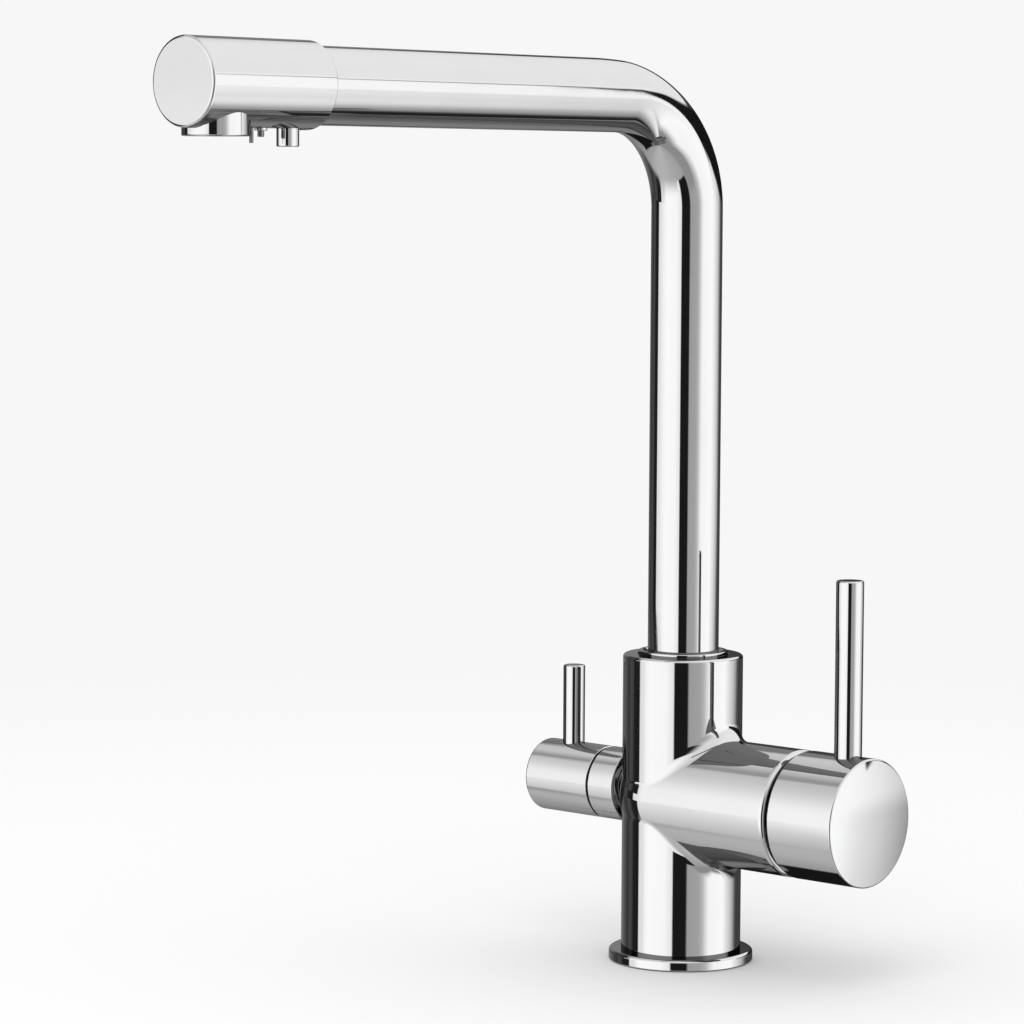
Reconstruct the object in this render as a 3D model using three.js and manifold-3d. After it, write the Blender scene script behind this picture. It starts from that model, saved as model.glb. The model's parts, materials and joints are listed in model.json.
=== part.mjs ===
// Three way filtered water kitchen tap: a chrome column with a swivelling L-shaped spout, a single-lever
// mixer on the right hand side and a quarter-turn filtered water valve on the left.
// Millimetres, +Z up. The origin is the middle of the foot, on the worktop; the spout points to -Y.
import * as THREE from 'three';
import { mergeVertices } from 'three/addons/utils/BufferGeometryUtils.js';
import Module from 'manifold-3d';

const wasm = await Module();
wasm.setup();

// ---- Driving dimensions -------------------------------------------------------------------------

// Fits
const SEAT_GAP = 0.3; // between pieces pushed into each other
const RUNNING_GAP = 0.3; // between pieces that turn on each other
const SEAL_GAP = 0.1; // round a seal in its groove

// Column
const COLUMN_R = 22;
const COLUMN_TOP = 113;
const COLUMN_EDGE_ROUND = 1.2;
const SPIGOT_R = 20; // foot of the column inside the flange
const SPIGOT_LIFT = 0.6;
const HOSE_RECESS_R = 17.5;
const HOSE_RECESS_TOP = 26;

// Foot
const FLANGE_R = 26.5;
const FLANGE_H = 4;
const FLANGE_EDGE_ROUND = 1.3;
const FLANGE_BOTTOM_EDGE = 0.4;
const GASKET_INNER_R = 21.5;
const GASKET_OUTER_R = 24.9;
const GASKET_H = 1.2;

// Mixer branch of the casting, on +X
const MIXER_Z = 60;
const BRANCH_R = 23;
const BRANCH_END = 56.7;
const BRANCH_END_ROUND = 2;
const BLEND_R = 6; // cast fillet between branch and column
const BLEND_ROOT = 2.5; // depth of the fillet's body inside the casting
const CARTRIDGE_BORE_R = 18.3;
const CARTRIDGE_FLOOR = 24;
const NUT_BORE_R = 20.3;
const NUT_SHOULDER = 46;

// Mixer cartridge
const PORT_CIRCLE_R = 10;
const PORT_ANGLE = 53; // of the two inlets from straight down
const PORT_R = 3.4;
const FEED_DEPTH = 14.5; // of the rising waterways behind the cartridge floor
const WATERWAY_OVERLAP = 2;
const FILTER_FEED_X = 14;
const PORT_SEAL_WALL = 1.6;
const PORT_SEAL_H = 1.3;
const CARTRIDGE_BASE_H = 2;
const CARTRIDGE_WALL = 3.2;
const CARTRIDGE_SKIRT_END = 46;
const DISC_H = 2.4;
const DISC_GAP = 0.3;
const MOVING_DISC_R = 10.5;
const DRIVER_BOSS_R = 6.4;
const DRIVER_BOSS_H = 2.2;
const DRIVER_SOCKET_R = 3.3;
const CARRIER_R = 12.4;
const CARRIER_START = 36.6;
const CARRIER_H = 9.4;
const PIVOT_DEPTH = 16.5; // tilt axis behind the mouth of the branch
const PIN_R = 1.3;
const STEM_SIZE = 6.4;
const STEM_BALL_R = 2.5;
const STEM_NECK_R = 1.75;
const STEM_ARM = 6.4; // from the tilt axis back to the ball
const STEM_BURIED = 8; // its end behind the handle's end face
const TILT_MAX = 25; // degrees, lever pulled outwards
const NUT_H = 5.7;
const NUT_INNER_R = 15.5;
const NUT_NOTCHES = 6;
const NUT_NOTCH = 3;
const DOME_SKIRT_R = 20;
const DOME_WALL = 1.5;
const DOME_HOLE_R = 15.5;

// Mixer handle
const HANDLE_GAP = 1.5; // shadow gap to the branch
const HANDLE_L = 29.8;
const HANDLE_CROWN = 1.2; // of the end face
const HANDLE_EDGE_ROUND = 0.8;
const HANDLE_RIM_WALL = 1.5;
const HANDLE_STEP = 12.3; // depth of the thin-walled rim
const HANDLE_SEAT_WALL = 5.5; // wall that carries the lever
const HANDLE_END_WALL = 3.5;
const HANDLE_BOSS_R = 8;
const HANDLE_BOSS_L = 22;
const LEVER_R = 4.95;
const LEVER_INSET = 11.3; // from the handle's end
const LEVER_TOP = 145.5;
const LEVER_EDGE = 0.6;
const LEVER_SEAT_DEPTH = 4;
const LEVER_STUD_R = 3;
const LEVER_STUD_L = 4.5;
const GRUB_R = 2.5;
const GRUB_L = 4;
const GRUB_PLUG_H = 2;

// Filtered water valve, on -X (lengths are measured outwards from the column's axis)
const FILTER_Z = 61.5;
const NECK_R = 10;
const NECK_END = 27;
const VALVE_BORE_R = 7.3;
const VALVE_BORE_FLOOR = 9.5;
const SLEEVE_R = 13.5;
const SLEEVE_START = 22.7;
const SLEEVE_END = 34.8;
const SLEEVE_BORE_R = 8.6;
const SLEEVE_EDGE = 0.5;
const VALVE_START = 12;
const VALVE_HEAD_GAP = 2; // to the boss of the handle
const VALVE_WALL = 1.8;
const VALVE_DISC_H = 2.4;
const VALVE_SEAL_H = 1.8;
const VALVE_PORT_R = 1.6;
const SPINDLE_R = 3.6;
const SPINDLE_BURIED = 8;
const SPINDLE_COLLAR_H = 5.5;
const KNOB_GAP = 0.7;
const KNOB_L = 30.5;
const KNOB_WALL = 1.8;
const KNOB_SEAT_WALL = 4;
const KNOB_STEP = 11.5;
const KNOB_END_WALL = 3.5;
const KNOB_BOSS_R = 7.3;
const KNOB_BOSS_L = 24;
const FILTER_LEVER_R = 4.1;
const FILTER_LEVER_INSET = 12.5;
const FILTER_LEVER_TOP = 104.1;
const FILTER_LEVER_SEAT = 2.6;
const FILTER_STUD_R = 2.2;
const FILTER_STUD_L = 2.8;
const FILTER_GRUB_R = 2;
const FILTER_GRUB_L = 2.6;

// Spout
const PIPE_R = 13;
const PIPE_WALL = 1.2;
const SPOUT_Z = 315.6;
const BEND_R = 40;
const INNER_TUBE_R = 4;
const INNER_TUBE_WALL = 0.8;
const BUSH_WALL = 2.2;
const BUSH_START = 76;
const BUSH_FLOOR_H = 6;
const BUSH_PORT_R = 2.2;
const BUSH_PORT_CIRCLE_R = 8.8;
const BUSH_PORTS = 6;
const ORING_SECTION_R = 0.75;
const ORING_HEIGHTS = [89, 101];
const GLIDE_RING_LEDGE = 0.5; // seat of the ring round the socket
const GLIDE_RING_EDGE = 0.5;
const GLIDE_RING_DEPTH = 2;
const GLIDE_RING_RISE = 1.4;

// Spout head
const HEAD_R = 14.6;
const HEAD_FRONT = 246.4;
const HEAD_L = 54.4;
const HEAD_EDGE_ROUND = 1;
const HEAD_REAR_EDGE = 0.4;
const HEAD_END_WALL = 3;
const HEAD_CHAMBER_R = 12;
const PIPE_INSERTION = 22;
const PIPE_NOTCH_W = 9; // open to the tip, so the pipe clears the nozzle
const PIPE_NOTCH_START = 195.6;
const CORE_START = 193.5;
const CORE_END = 213;
const CORE_TUBE_SEAT = 5;
const CORE_PORTS = 5;
const CORE_PORT_R = 2.3;
const CORE_PORT_CIRCLE_R = 7.8;
const CORE_PORT_SPACING = 48; // degrees
const AERATOR_Y = 232.2;
const AERATOR_BOSS_R = 11;
const AERATOR_BOSS_DROP = 17; // below the head's axis
const AERATOR_WALL = 1.4;
const AERATOR_SEAT_DROP = 12.8;
const AERATOR_LEDGE = 1.2;
const AERATOR_RING_WALL = 1;
const AERATOR_RECESS = 0.4;
const AERATOR_INSERT_RECESS = 0.9;
const AERATOR_HOLES = 6;
const AERATOR_HOLE_R = 1.6;
const AERATOR_HOLE_CIRCLE_R = 4.8;
const AERATOR_WASHER_H = 1;
const NOZZLE_Y = 200.6;
const NOZZLE_R = 3.7;
const NOZZLE_EDGE = 0.3;
const NOZZLE_DROP = 20;
const NOZZLE_TOP_DROP = 8.3;
const NOZZLE_BORE_R = 1.9;
const NOZZLE_MOUTH_R = 2.9;
const NOZZLE_MOUTH_DROP = 15;
const NOZZLE_LINER_RECESS = 0.4;
const FLAT_DROP = 14.1; // flat milled under the head, from the aerator's boss to past the nozzle
const FLAT_PAST_NOZZLE = 5.2;
const SCREW_Y = 212.6;
const SCREW_BOSS_R = 2.1;
const SCREW_BOSS_DROP = 15;
const SCREW_R = 1.1;
const SCREW_TOP_DROP = 10;
const SCREW_DROP = 17;
const PIN_Y = 216.8;
const HEAD_PIN_R = 0.7;
const HEAD_PIN_TOP_DROP = 13;
const HEAD_PIN_DROP = 19;

// Facets
const ROUND = 32;
const MEDIUM_ROUND = 24;
const SMALL_ROUND = 16;
const TINY_ROUND = 8;
const PIPE_ROUND = 24;
const FINE_TUBE_ROUND = 8;
const EDGE_STEPS = 2;
const SEAL_CORNERS = 6;
const BEND_STEPS = 8;
const BLEND_FRONT_STATIONS = 16;
const BLEND_REAR_STATIONS = 8;
const BLEND_ARC_STEPS = 3;

// ---- Sizes that follow --------------------------------------------------------------------------

const PIVOT_X = BRANCH_END - PIVOT_DEPTH;
const HANDLE_START = BRANCH_END + HANDLE_GAP;
const HANDLE_END = HANDLE_START + HANDLE_L;
const HANDLE_BOSS_START = HANDLE_END - HANDLE_BOSS_L;
const STEM_END = HANDLE_END - STEM_BURIED;
const LEVER_X = HANDLE_END - LEVER_INSET;
const DOME_R = Math.hypot(DOME_SKIRT_R, PIVOT_DEPTH);
const KNOB_START = SLEEVE_END + KNOB_GAP;
const KNOB_END = KNOB_START + KNOB_L;
const KNOB_BOSS_START = KNOB_END - KNOB_BOSS_L;
const VALVE_HEAD_END = KNOB_BOSS_START - VALVE_HEAD_GAP;
const SPINDLE_END = KNOB_END - SPINDLE_BURIED;
const FILTER_LEVER_X = KNOB_END - FILTER_LEVER_INSET;
const BUSH_TOP = COLUMN_TOP - GLIDE_RING_DEPTH - RUNNING_GAP;
const BUSH_R = PIPE_R + SEAT_GAP + BUSH_WALL;
const SOCKET_R = BUSH_R + RUNNING_GAP;
const GLIDE_RING_R = SOCKET_R + GLIDE_RING_LEDGE;
const SOCKET_FLOOR = BUSH_START - RUNNING_GAP;
const PIPE_FOOT = BUSH_START + BUSH_FLOOR_H;
const HEAD_REAR = HEAD_FRONT - HEAD_L;
const PIPE_TIP = HEAD_REAR + PIPE_INSERTION;
const AERATOR_SEAT_R = AERATOR_BOSS_R - AERATOR_WALL;
const AERATOR_RING_INNER_R = AERATOR_SEAT_R - SEAT_GAP - AERATOR_RING_WALL;
const AERATOR_WASHER_START = AERATOR_SEAT_DROP + SEAL_GAP;
const AERATOR_RING_START = AERATOR_WASHER_START + AERATOR_WASHER_H + SEAL_GAP;

// ---- Materials ----------------------------------------------------------------------------------

const metal = (color, roughness) => new THREE.MeshStandardMaterial({ color, roughness, metalness: 1 });
const plain = (color, roughness) => new THREE.MeshStandardMaterial({ color, roughness, metalness: 0 });
const chrome = metal(0xdfe1e3, 0.06);
const brass = metal(0xc9a44c, 0.3);
const steel = metal(0x8f9296, 0.3);
const rubber = plain(0x1d1d1f, 0.75);
const ceramic = plain(0xf0eee8, 0.25);
const blackPlastic = plain(0x24262a, 0.45);
const whitePlastic = plain(0xe9e9e6, 0.4);

// ---- Solids -------------------------------------------------------------------------------------

// A three.js geometry as a closed solid: shared corners merged, empty triangles left out.
function solid(geometry) {
  const bare = geometry.clone();
  bare.deleteAttribute('normal');
  bare.deleteAttribute('uv');
  const merged = mergeVertices(bare, 1e-4);
  const corners = merged.index.array;
  const triangles = [];
  for (let i = 0; i < corners.length; i += 3) {
    const [a, b, c] = [corners[i], corners[i + 1], corners[i + 2]];
    if (a !== b && b !== c && c !== a) triangles.push(a, b, c);
  }
  const mesh = new wasm.Mesh({
    numProp: 3,
    vertProperties: new Float32Array(merged.attributes.position.array),
    triVerts: new Uint32Array(triangles),
  });
  return new wasm.Manifold(mesh);
}

// The solid's surface as a three.js geometry with flat-shaded facets.
function surface(body) {
  const mesh = body.getMesh();
  const geometry = new THREE.BufferGeometry();
  geometry.setAttribute('position', new THREE.BufferAttribute(mesh.vertProperties, 3));
  geometry.setIndex(new THREE.BufferAttribute(mesh.triVerts, 1));
  geometry.computeVertexNormals();
  return geometry;
}

// Takes each cutter away from the body.
function cut(geometry, ...cutters) {
  return surface(cutters.reduce((body, cutter) => body.subtract(solid(cutter)), solid(geometry)));
}

// Joins the geometries into one solid.
function join(first, ...others) {
  return surface(others.reduce((body, other) => body.add(solid(other)), solid(first)));
}

// A solid turned about +Z from [radius, height] pairs, listed anticlockwise.
function turned(profile, sides = ROUND) {
  const points = profile.map(([radius, height]) => new THREE.Vector2(radius, height));
  if (profile[0][0] > 0) points.push(points[0].clone());
  return new THREE.LatheGeometry(points, sides).rotateX(Math.PI / 2);
}

// Points of a quarter-round edge about a centre in the profile plane.
function rounded(radius, height, edge, fromDegrees, toDegrees) {
  return Array.from({ length: EDGE_STEPS + 1 }, (_, i) => {
    const angle = THREE.MathUtils.degToRad(fromDegrees + ((toDegrees - fromDegrees) * i) / EDGE_STEPS);
    return [radius + edge * Math.cos(angle), height + edge * Math.sin(angle)];
  });
}

// A plain round bar about +Z between two heights.
function bar(radius, from, to, sides = SMALL_ROUND) {
  return turned([[0, from], [radius, from], [radius, to], [0, to]], sides);
}

// A ring about +Z with a square section.
function ring(inner, outer, from, to, sides = ROUND) {
  return turned([[inner, from], [outer, from], [outer, to], [inner, to]], sides);
}

// A block between two corners.
function block(low, high) {
  const size = high.map((value, i) => value - low[i]);
  const middle = high.map((value, i) => (value + low[i]) / 2);
  return new THREE.BoxGeometry(...size).translate(...middle);
}

// Turns a geometry made about +Z to point along +X, -X or -Y.
const towardsX = (geometry) => geometry.rotateY(Math.PI / 2);
const towardsMinusX = (geometry) => geometry.rotateY(-Math.PI / 2);

// A closed skin over rings of points that all have the same number of corners; the rings form a loop.
function loopedLoft(rings) {
  const corners = rings[0].length;
  const position = rings.flat().flatMap((point) => point.toArray());
  const index = [];
  rings.forEach((_, i) => {
    const next = (i + 1) % rings.length;
    for (let j = 0; j < corners; j += 1) {
      const k = (j + 1) % corners;
      const quad = [i * corners + j, next * corners + j, next * corners + k, i * corners + k];
      index.push(quad[0], quad[1], quad[2], quad[0], quad[2], quad[3]);
    }
  });
  const geometry = new THREE.BufferGeometry();
  geometry.setAttribute('position', new THREE.Float32BufferAttribute(position, 3));
  geometry.setIndex(index);
  return geometry;
}

// ---- Casting ------------------------------------------------------------------------------------

// The cast fillet between branch and column: the path of a ball that rolls on both. A branch wider than
// the column has one above it (side 1) and one below it (side -1), which go on round the column along the
// branch's round inner end; a slimmer branch has one that closes round the branch (side 0).
function castBlend(side) {
  const columnReach = COLUMN_R + BLEND_R;
  const branchReach = BRANCH_R + BLEND_R;
  const split = side !== 0;
  const frontAngle = split ? Math.asin(columnReach / branchReach) : Math.PI;
  const flip = split ? side : 1;

  const section = (centre) => {
    const onColumn = new THREE.Vector3(centre.x, centre.y, 0).multiplyScalar(COLUMN_R / columnReach);
    onColumn.z = centre.z;
    const axisPoint = new THREE.Vector3(Math.max(centre.x, 0), 0, 0);
    const towardsBall = centre.clone().sub(axisPoint).normalize();
    const onBranch = axisPoint.clone().addScaledVector(towardsBall, BRANCH_R);
    const outOfColumn = onColumn.clone().setZ(0).normalize();
    const corner = onColumn.clone().add(onBranch).multiplyScalar(0.5);
    corner.addScaledVector(centre.clone().sub(corner).normalize(), -BLEND_R / 2);
    const points = [];
    const start = onColumn.clone().sub(centre);
    const end = onBranch.clone().sub(centre);
    for (let i = 0; i <= BLEND_ARC_STEPS; i += 1) {
      const ray = start.clone().lerp(end, i / BLEND_ARC_STEPS).setLength(BLEND_R);
      points.push(centre.clone().add(ray));
    }
    points.push(onBranch.clone().addScaledVector(towardsBall, -BLEND_ROOT));
    points.push(corner.addScaledVector(towardsBall, -BLEND_ROOT).addScaledVector(outOfColumn, -BLEND_ROOT));
    points.push(onColumn.clone().addScaledVector(outOfColumn, -BLEND_ROOT));
    return points.map((point) => point.setZ(flip * point.z + MIXER_Z));
  };

  const rings = [];
  const frontStations = split ? BLEND_FRONT_STATIONS : 2 * BLEND_FRONT_STATIONS;
  for (let i = 0; i < frontStations; i += 1) {
    const angle = frontAngle * ((2 * i) / frontStations - 1);
    const y = branchReach * Math.sin(angle);
    const x = Math.sqrt(Math.max(columnReach ** 2 - y ** 2, 0));
    rings.push(section(new THREE.Vector3(x, y, branchReach * Math.cos(angle))));
  }
  const rearStations = split ? BLEND_REAR_STATIONS : 0;
  for (let i = 0; i < rearStations; i += 1) {
    const angle = Math.PI * (0.5 + i / rearStations);
    const [x, y] = [columnReach * Math.cos(angle), columnReach * Math.sin(angle)];
    rings.push(section(new THREE.Vector3(x, y, branchReach * Math.cos(frontAngle))));
  }
  return loopedLoft(flip > 0 ? rings.reverse() : rings);
}

// Position of a cartridge port in the plane of the cartridge floor: [y, z].
function portPlace(port) {
  const fromDown = { hot: -PORT_ANGLE, cold: PORT_ANGLE, mixed: 180 }[port];
  const angle = THREE.MathUtils.degToRad(fromDown);
  return [PORT_CIRCLE_R * Math.sin(angle), MIXER_Z - PORT_CIRCLE_R * Math.cos(angle)];
}

// Waterways: hot and cold rise to the cartridge and mixed water returns to the socket's floor; the
// filtered water has a way of its own, through its valve to the middle of the socket.
function waterways() {
  const feedX = CARTRIDGE_FLOOR - FEED_DEPTH;
  const overlap = WATERWAY_OVERLAP;
  const ways = ['hot', 'cold'].flatMap((port) => {
    const [y, z] = portPlace(port);
    const rise = bar(PORT_R, HOSE_RECESS_TOP - overlap, z, TINY_ROUND).translate(feedX, y, 0);
    const across = towardsX(bar(PORT_R, feedX, CARTRIDGE_FLOOR + overlap, TINY_ROUND)).translate(0, y, z);
    return [rise, across];
  });
  const [mixedY, mixedZ] = portPlace('mixed');
  const back = towardsX(bar(PORT_R, feedX, CARTRIDGE_FLOOR + overlap, TINY_ROUND));
  ways.push(back.translate(0, mixedY, mixedZ));
  ways.push(bar(PORT_R, mixedZ, SOCKET_FLOOR + overlap, TINY_ROUND).translate(feedX, mixedY, 0));
  ways.push(bar(PORT_R, HOSE_RECESS_TOP - overlap, FILTER_Z, TINY_ROUND).translate(-FILTER_FEED_X, 0, 0));
  ways.push(towardsMinusX(bar(PORT_R, 0, VALVE_BORE_FLOOR + overlap, TINY_ROUND)).translate(0, 0, FILTER_Z));
  ways.push(bar(PORT_R, FILTER_Z, SOCKET_FLOOR + overlap, TINY_ROUND));
  return ways;
}

function bodyCasting() {
  const column = turned([
    [0, SPIGOT_LIFT],
    [SPIGOT_R, SPIGOT_LIFT],
    [SPIGOT_R, FLANGE_H],
    [COLUMN_R, FLANGE_H],
    ...rounded(COLUMN_R - COLUMN_EDGE_ROUND, COLUMN_TOP - COLUMN_EDGE_ROUND, COLUMN_EDGE_ROUND, 0, 90),
    [0, COLUMN_TOP],
  ]);
  const innerEnd = Array.from({ length: ROUND / 4 }, (_, i) => {
    const angle = (Math.PI / 2) * (i / (ROUND / 4) - 1);
    return [BRANCH_R * Math.cos(angle), BRANCH_R * Math.sin(angle)];
  });
  const branch = turned([
    [0, -BRANCH_R],
    ...innerEnd.slice(1),
    [BRANCH_R, 0],
    ...rounded(BRANCH_R - BRANCH_END_ROUND, BRANCH_END - BRANCH_END_ROUND, BRANCH_END_ROUND, 0, 90),
    [0, BRANCH_END],
  ]);
  const neck = bar(NECK_R, 0, NECK_END, ROUND);
  const outside = join(
    column,
    towardsX(branch).translate(0, 0, MIXER_Z),
    towardsMinusX(neck).translate(0, 0, FILTER_Z),
    ...(BRANCH_R > COLUMN_R ? [1, -1] : [0]).map(castBlend),
  );
  const mouth = BRANCH_END + 1;
  return cut(
    outside,
    bar(HOSE_RECESS_R, -1, HOSE_RECESS_TOP, ROUND),
    bar(SOCKET_R, SOCKET_FLOOR, COLUMN_TOP + 1, ROUND),
    bar(GLIDE_RING_R + SEAT_GAP, COLUMN_TOP - GLIDE_RING_DEPTH, COLUMN_TOP + 1, ROUND),
    towardsX(bar(CARTRIDGE_BORE_R, CARTRIDGE_FLOOR, mouth, ROUND)).translate(0, 0, MIXER_Z),
    towardsX(bar(NUT_BORE_R, NUT_SHOULDER, mouth, ROUND)).translate(0, 0, MIXER_Z),
    towardsMinusX(bar(VALVE_BORE_R, VALVE_BORE_FLOOR, NECK_END + 1, SMALL_ROUND)).translate(0, 0, FILTER_Z),
    ...waterways(),
  );
}

function baseFlange() {
  const grooveInner = GASKET_INNER_R - SEAT_GAP;
  const grooveOuter = GASKET_OUTER_R + SEAT_GAP;
  const grooveTop = GASKET_H + SEAT_GAP;
  return turned([
    [SPIGOT_R + SEAT_GAP, 0],
    [grooveInner, 0],
    [grooveInner, grooveTop],
    [grooveOuter, grooveTop],
    [grooveOuter, 0],
    [FLANGE_R - FLANGE_BOTTOM_EDGE, 0],
    [FLANGE_R, FLANGE_BOTTOM_EDGE],
    ...rounded(FLANGE_R - FLANGE_EDGE_ROUND, FLANGE_H - FLANGE_EDGE_ROUND, FLANGE_EDGE_ROUND, 0, 90),
    [SPIGOT_R + SEAT_GAP, FLANGE_H],
  ]);
}

// Ring in the top of the column that guides the pipe; its face dips towards the pipe.
function glideRing() {
  const bore = PIPE_R + RUNNING_GAP;
  const rim = GLIDE_RING_EDGE;
  return turned([
    [bore, COLUMN_TOP - GLIDE_RING_DEPTH],
    [GLIDE_RING_R, COLUMN_TOP - GLIDE_RING_DEPTH],
    [GLIDE_RING_R, COLUMN_TOP + GLIDE_RING_RISE - rim],
    [GLIDE_RING_R - rim, COLUMN_TOP + GLIDE_RING_RISE],
    [bore + rim, COLUMN_TOP + GLIDE_RING_RISE - rim],
    [bore, COLUMN_TOP + GLIDE_RING_RISE - 2 * rim],
  ]);
}

// ---- Mixer cartridge (heights run along the branch, from the column's axis) ----------------------

const SEAL_START = CARTRIDGE_FLOOR + SEAL_GAP;
const CARTRIDGE_START = SEAL_START + PORT_SEAL_H + SEAL_GAP;
const FIXED_DISC_START = CARTRIDGE_START + CARTRIDGE_BASE_H;
const MOVING_DISC_START = FIXED_DISC_START + DISC_H + DISC_GAP;
const CARTRIDGE_R = CARTRIDGE_BORE_R - SEAT_GAP;
const CARTRIDGE_INNER_R = CARTRIDGE_R - CARTRIDGE_WALL;

// The three ports as upright bars, in the cartridge's own frame (its +X is down, as it lies in the branch).
function portBars(from, to) {
  return ['hot', 'cold', 'mixed'].map((port) => {
    const [y, z] = portPlace(port);
    return bar(PORT_R, from, to, TINY_ROUND).translate(MIXER_Z - z, y, 0);
  });
}

function cartridgeBody() {
  const neckR = CARRIER_R + RUNNING_GAP;
  const neckStart = CARRIER_START - RUNNING_GAP;
  const cup = turned([
    [0, CARTRIDGE_START],
    [CARTRIDGE_R, CARTRIDGE_START],
    [CARTRIDGE_R, CARTRIDGE_SKIRT_END],
    [neckR, CARTRIDGE_SKIRT_END],
    [neckR, neckStart],
    [CARTRIDGE_INNER_R, neckStart - (CARTRIDGE_INNER_R - neckR)],
    [CARTRIDGE_INNER_R, FIXED_DISC_START],
    [0, FIXED_DISC_START],
  ], SMALL_ROUND);
  return cut(cup, ...portBars(CARTRIDGE_START - 1, FIXED_DISC_START + 1));
}

function fixedDisc() {
  const disc = bar(CARTRIDGE_INNER_R - SEAT_GAP, FIXED_DISC_START, FIXED_DISC_START + DISC_H);
  return cut(disc, ...portBars(FIXED_DISC_START - 1, FIXED_DISC_START + DISC_H + 1));
}

// The sliding disc: a mixing pocket on the sealing side and a socket for the stem on the other.
function movingDisc() {
  const top = MOVING_DISC_START + DISC_H;
  const socketFloor = PIVOT_X - STEM_ARM - STEM_BALL_R - RUNNING_GAP;
  const pocketR = MOVING_DISC_R - 2;
  const pocketH = (socketFloor - MOVING_DISC_START) / 2;
  return turned([
    [0, MOVING_DISC_START + pocketH],
    [pocketR, MOVING_DISC_START + pocketH],
    [pocketR, MOVING_DISC_START],
    [MOVING_DISC_R, MOVING_DISC_START],
    [MOVING_DISC_R, top],
    [DRIVER_BOSS_R, top],
    [DRIVER_BOSS_R, top + DRIVER_BOSS_H],
    [DRIVER_SOCKET_R, top + DRIVER_BOSS_H],
    [DRIVER_SOCKET_R, socketFloor],
    [0, socketFloor],
  ], SMALL_ROUND);
}

// The part of the cartridge that turns for the temperature; its slot lets the stem tilt.
function cartridgeCarrier() {
  const end = CARRIER_START + CARRIER_H;
  const side = STEM_SIZE / 2 + RUNNING_GAP;
  const tilt = THREE.MathUtils.degToRad(TILT_MAX);
  const halfSlanted = STEM_SIZE / 2 / Math.cos(tilt) + RUNNING_GAP;
  const down = (end - PIVOT_X) * Math.tan(tilt) + halfSlanted;
  const up = (PIVOT_X - CARRIER_START) * Math.tan(tilt) + halfSlanted;
  const body = bar(CARRIER_R, CARRIER_START, end);
  const slot = block([-up, -side, CARRIER_START - 1], [down, side, end + 1]);
  const pinHole = bar(PIN_R + SEAT_GAP, -CARRIER_R - 1, CARRIER_R + 1, TINY_ROUND);
  return cut(body, slot, pinHole.rotateX(Math.PI / 2).translate(0, 0, PIVOT_X));
}

function pivotPin() {
  const halfLength = CARRIER_R - 1;
  return bar(PIN_R, -halfLength, halfLength, TINY_ROUND).rotateX(Math.PI / 2).translate(0, 0, PIVOT_X);
}

// Square stem with a ball end for the disc and an eye for the pin.
function mixerStem() {
  const half = STEM_SIZE / 2;
  const neckR = STEM_NECK_R;
  const shoulder = PIVOT_X - half;
  const square = block([-half, -half, shoulder], [half, half, STEM_END]);
  const ball = new THREE.SphereGeometry(STEM_BALL_R, TINY_ROUND, TINY_ROUND / 2);
  const eye = bar(PIN_R + SEAT_GAP, -half - 1, half + 1, TINY_ROUND);
  const neck = bar(neckR, PIVOT_X - STEM_ARM, shoulder + 1, TINY_ROUND);
  const blank = join(square, neck, ball.translate(0, 0, PIVOT_X - STEM_ARM));
  return cut(blank, eye.rotateX(Math.PI / 2).translate(0, 0, PIVOT_X));
}

function retainingNut() {
  const start = NUT_SHOULDER + SEAT_GAP;
  const outer = NUT_BORE_R - SEAT_GAP;
  const nut = ring(NUT_INNER_R, outer, start, start + NUT_H, SMALL_ROUND);
  const notches = Array.from({ length: NUT_NOTCHES }, (_, i) => {
    const notch = block(
      [NUT_INNER_R - 1, -NUT_NOTCH / 2, start + NUT_H / 2],
      [NUT_INNER_R + NUT_NOTCH / 2, NUT_NOTCH / 2, start + NUT_H + 1],
    );
    return notch.rotateZ((2 * Math.PI * i) / NUT_NOTCHES);
  });
  return cut(nut, ...notches);
}

// Cover in the mouth of the branch: part of a ball about the tilt axis, so the handle passes over it.
function domeCover() {
  const skirtStart = NUT_SHOULDER + SEAT_GAP + NUT_H + SEAT_GAP;
  const innerR = DOME_R - DOME_WALL;
  const arc = (radius, fromR, toR) => Array.from({ length: EDGE_STEPS + 2 }, (_, i) => {
    const r = fromR + ((toR - fromR) * i) / (EDGE_STEPS + 1);
    return [r, PIVOT_X + Math.sqrt(radius ** 2 - r ** 2)];
  });
  return turned([
    [DOME_SKIRT_R, skirtStart],
    ...arc(DOME_R, DOME_SKIRT_R, DOME_HOLE_R),
    ...arc(innerR, DOME_HOLE_R, DOME_SKIRT_R - DOME_WALL),
    [DOME_SKIRT_R - DOME_WALL, skirtStart],
  ], SMALL_ROUND);
}

// ---- Mixer handle -------------------------------------------------------------------------------

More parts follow.
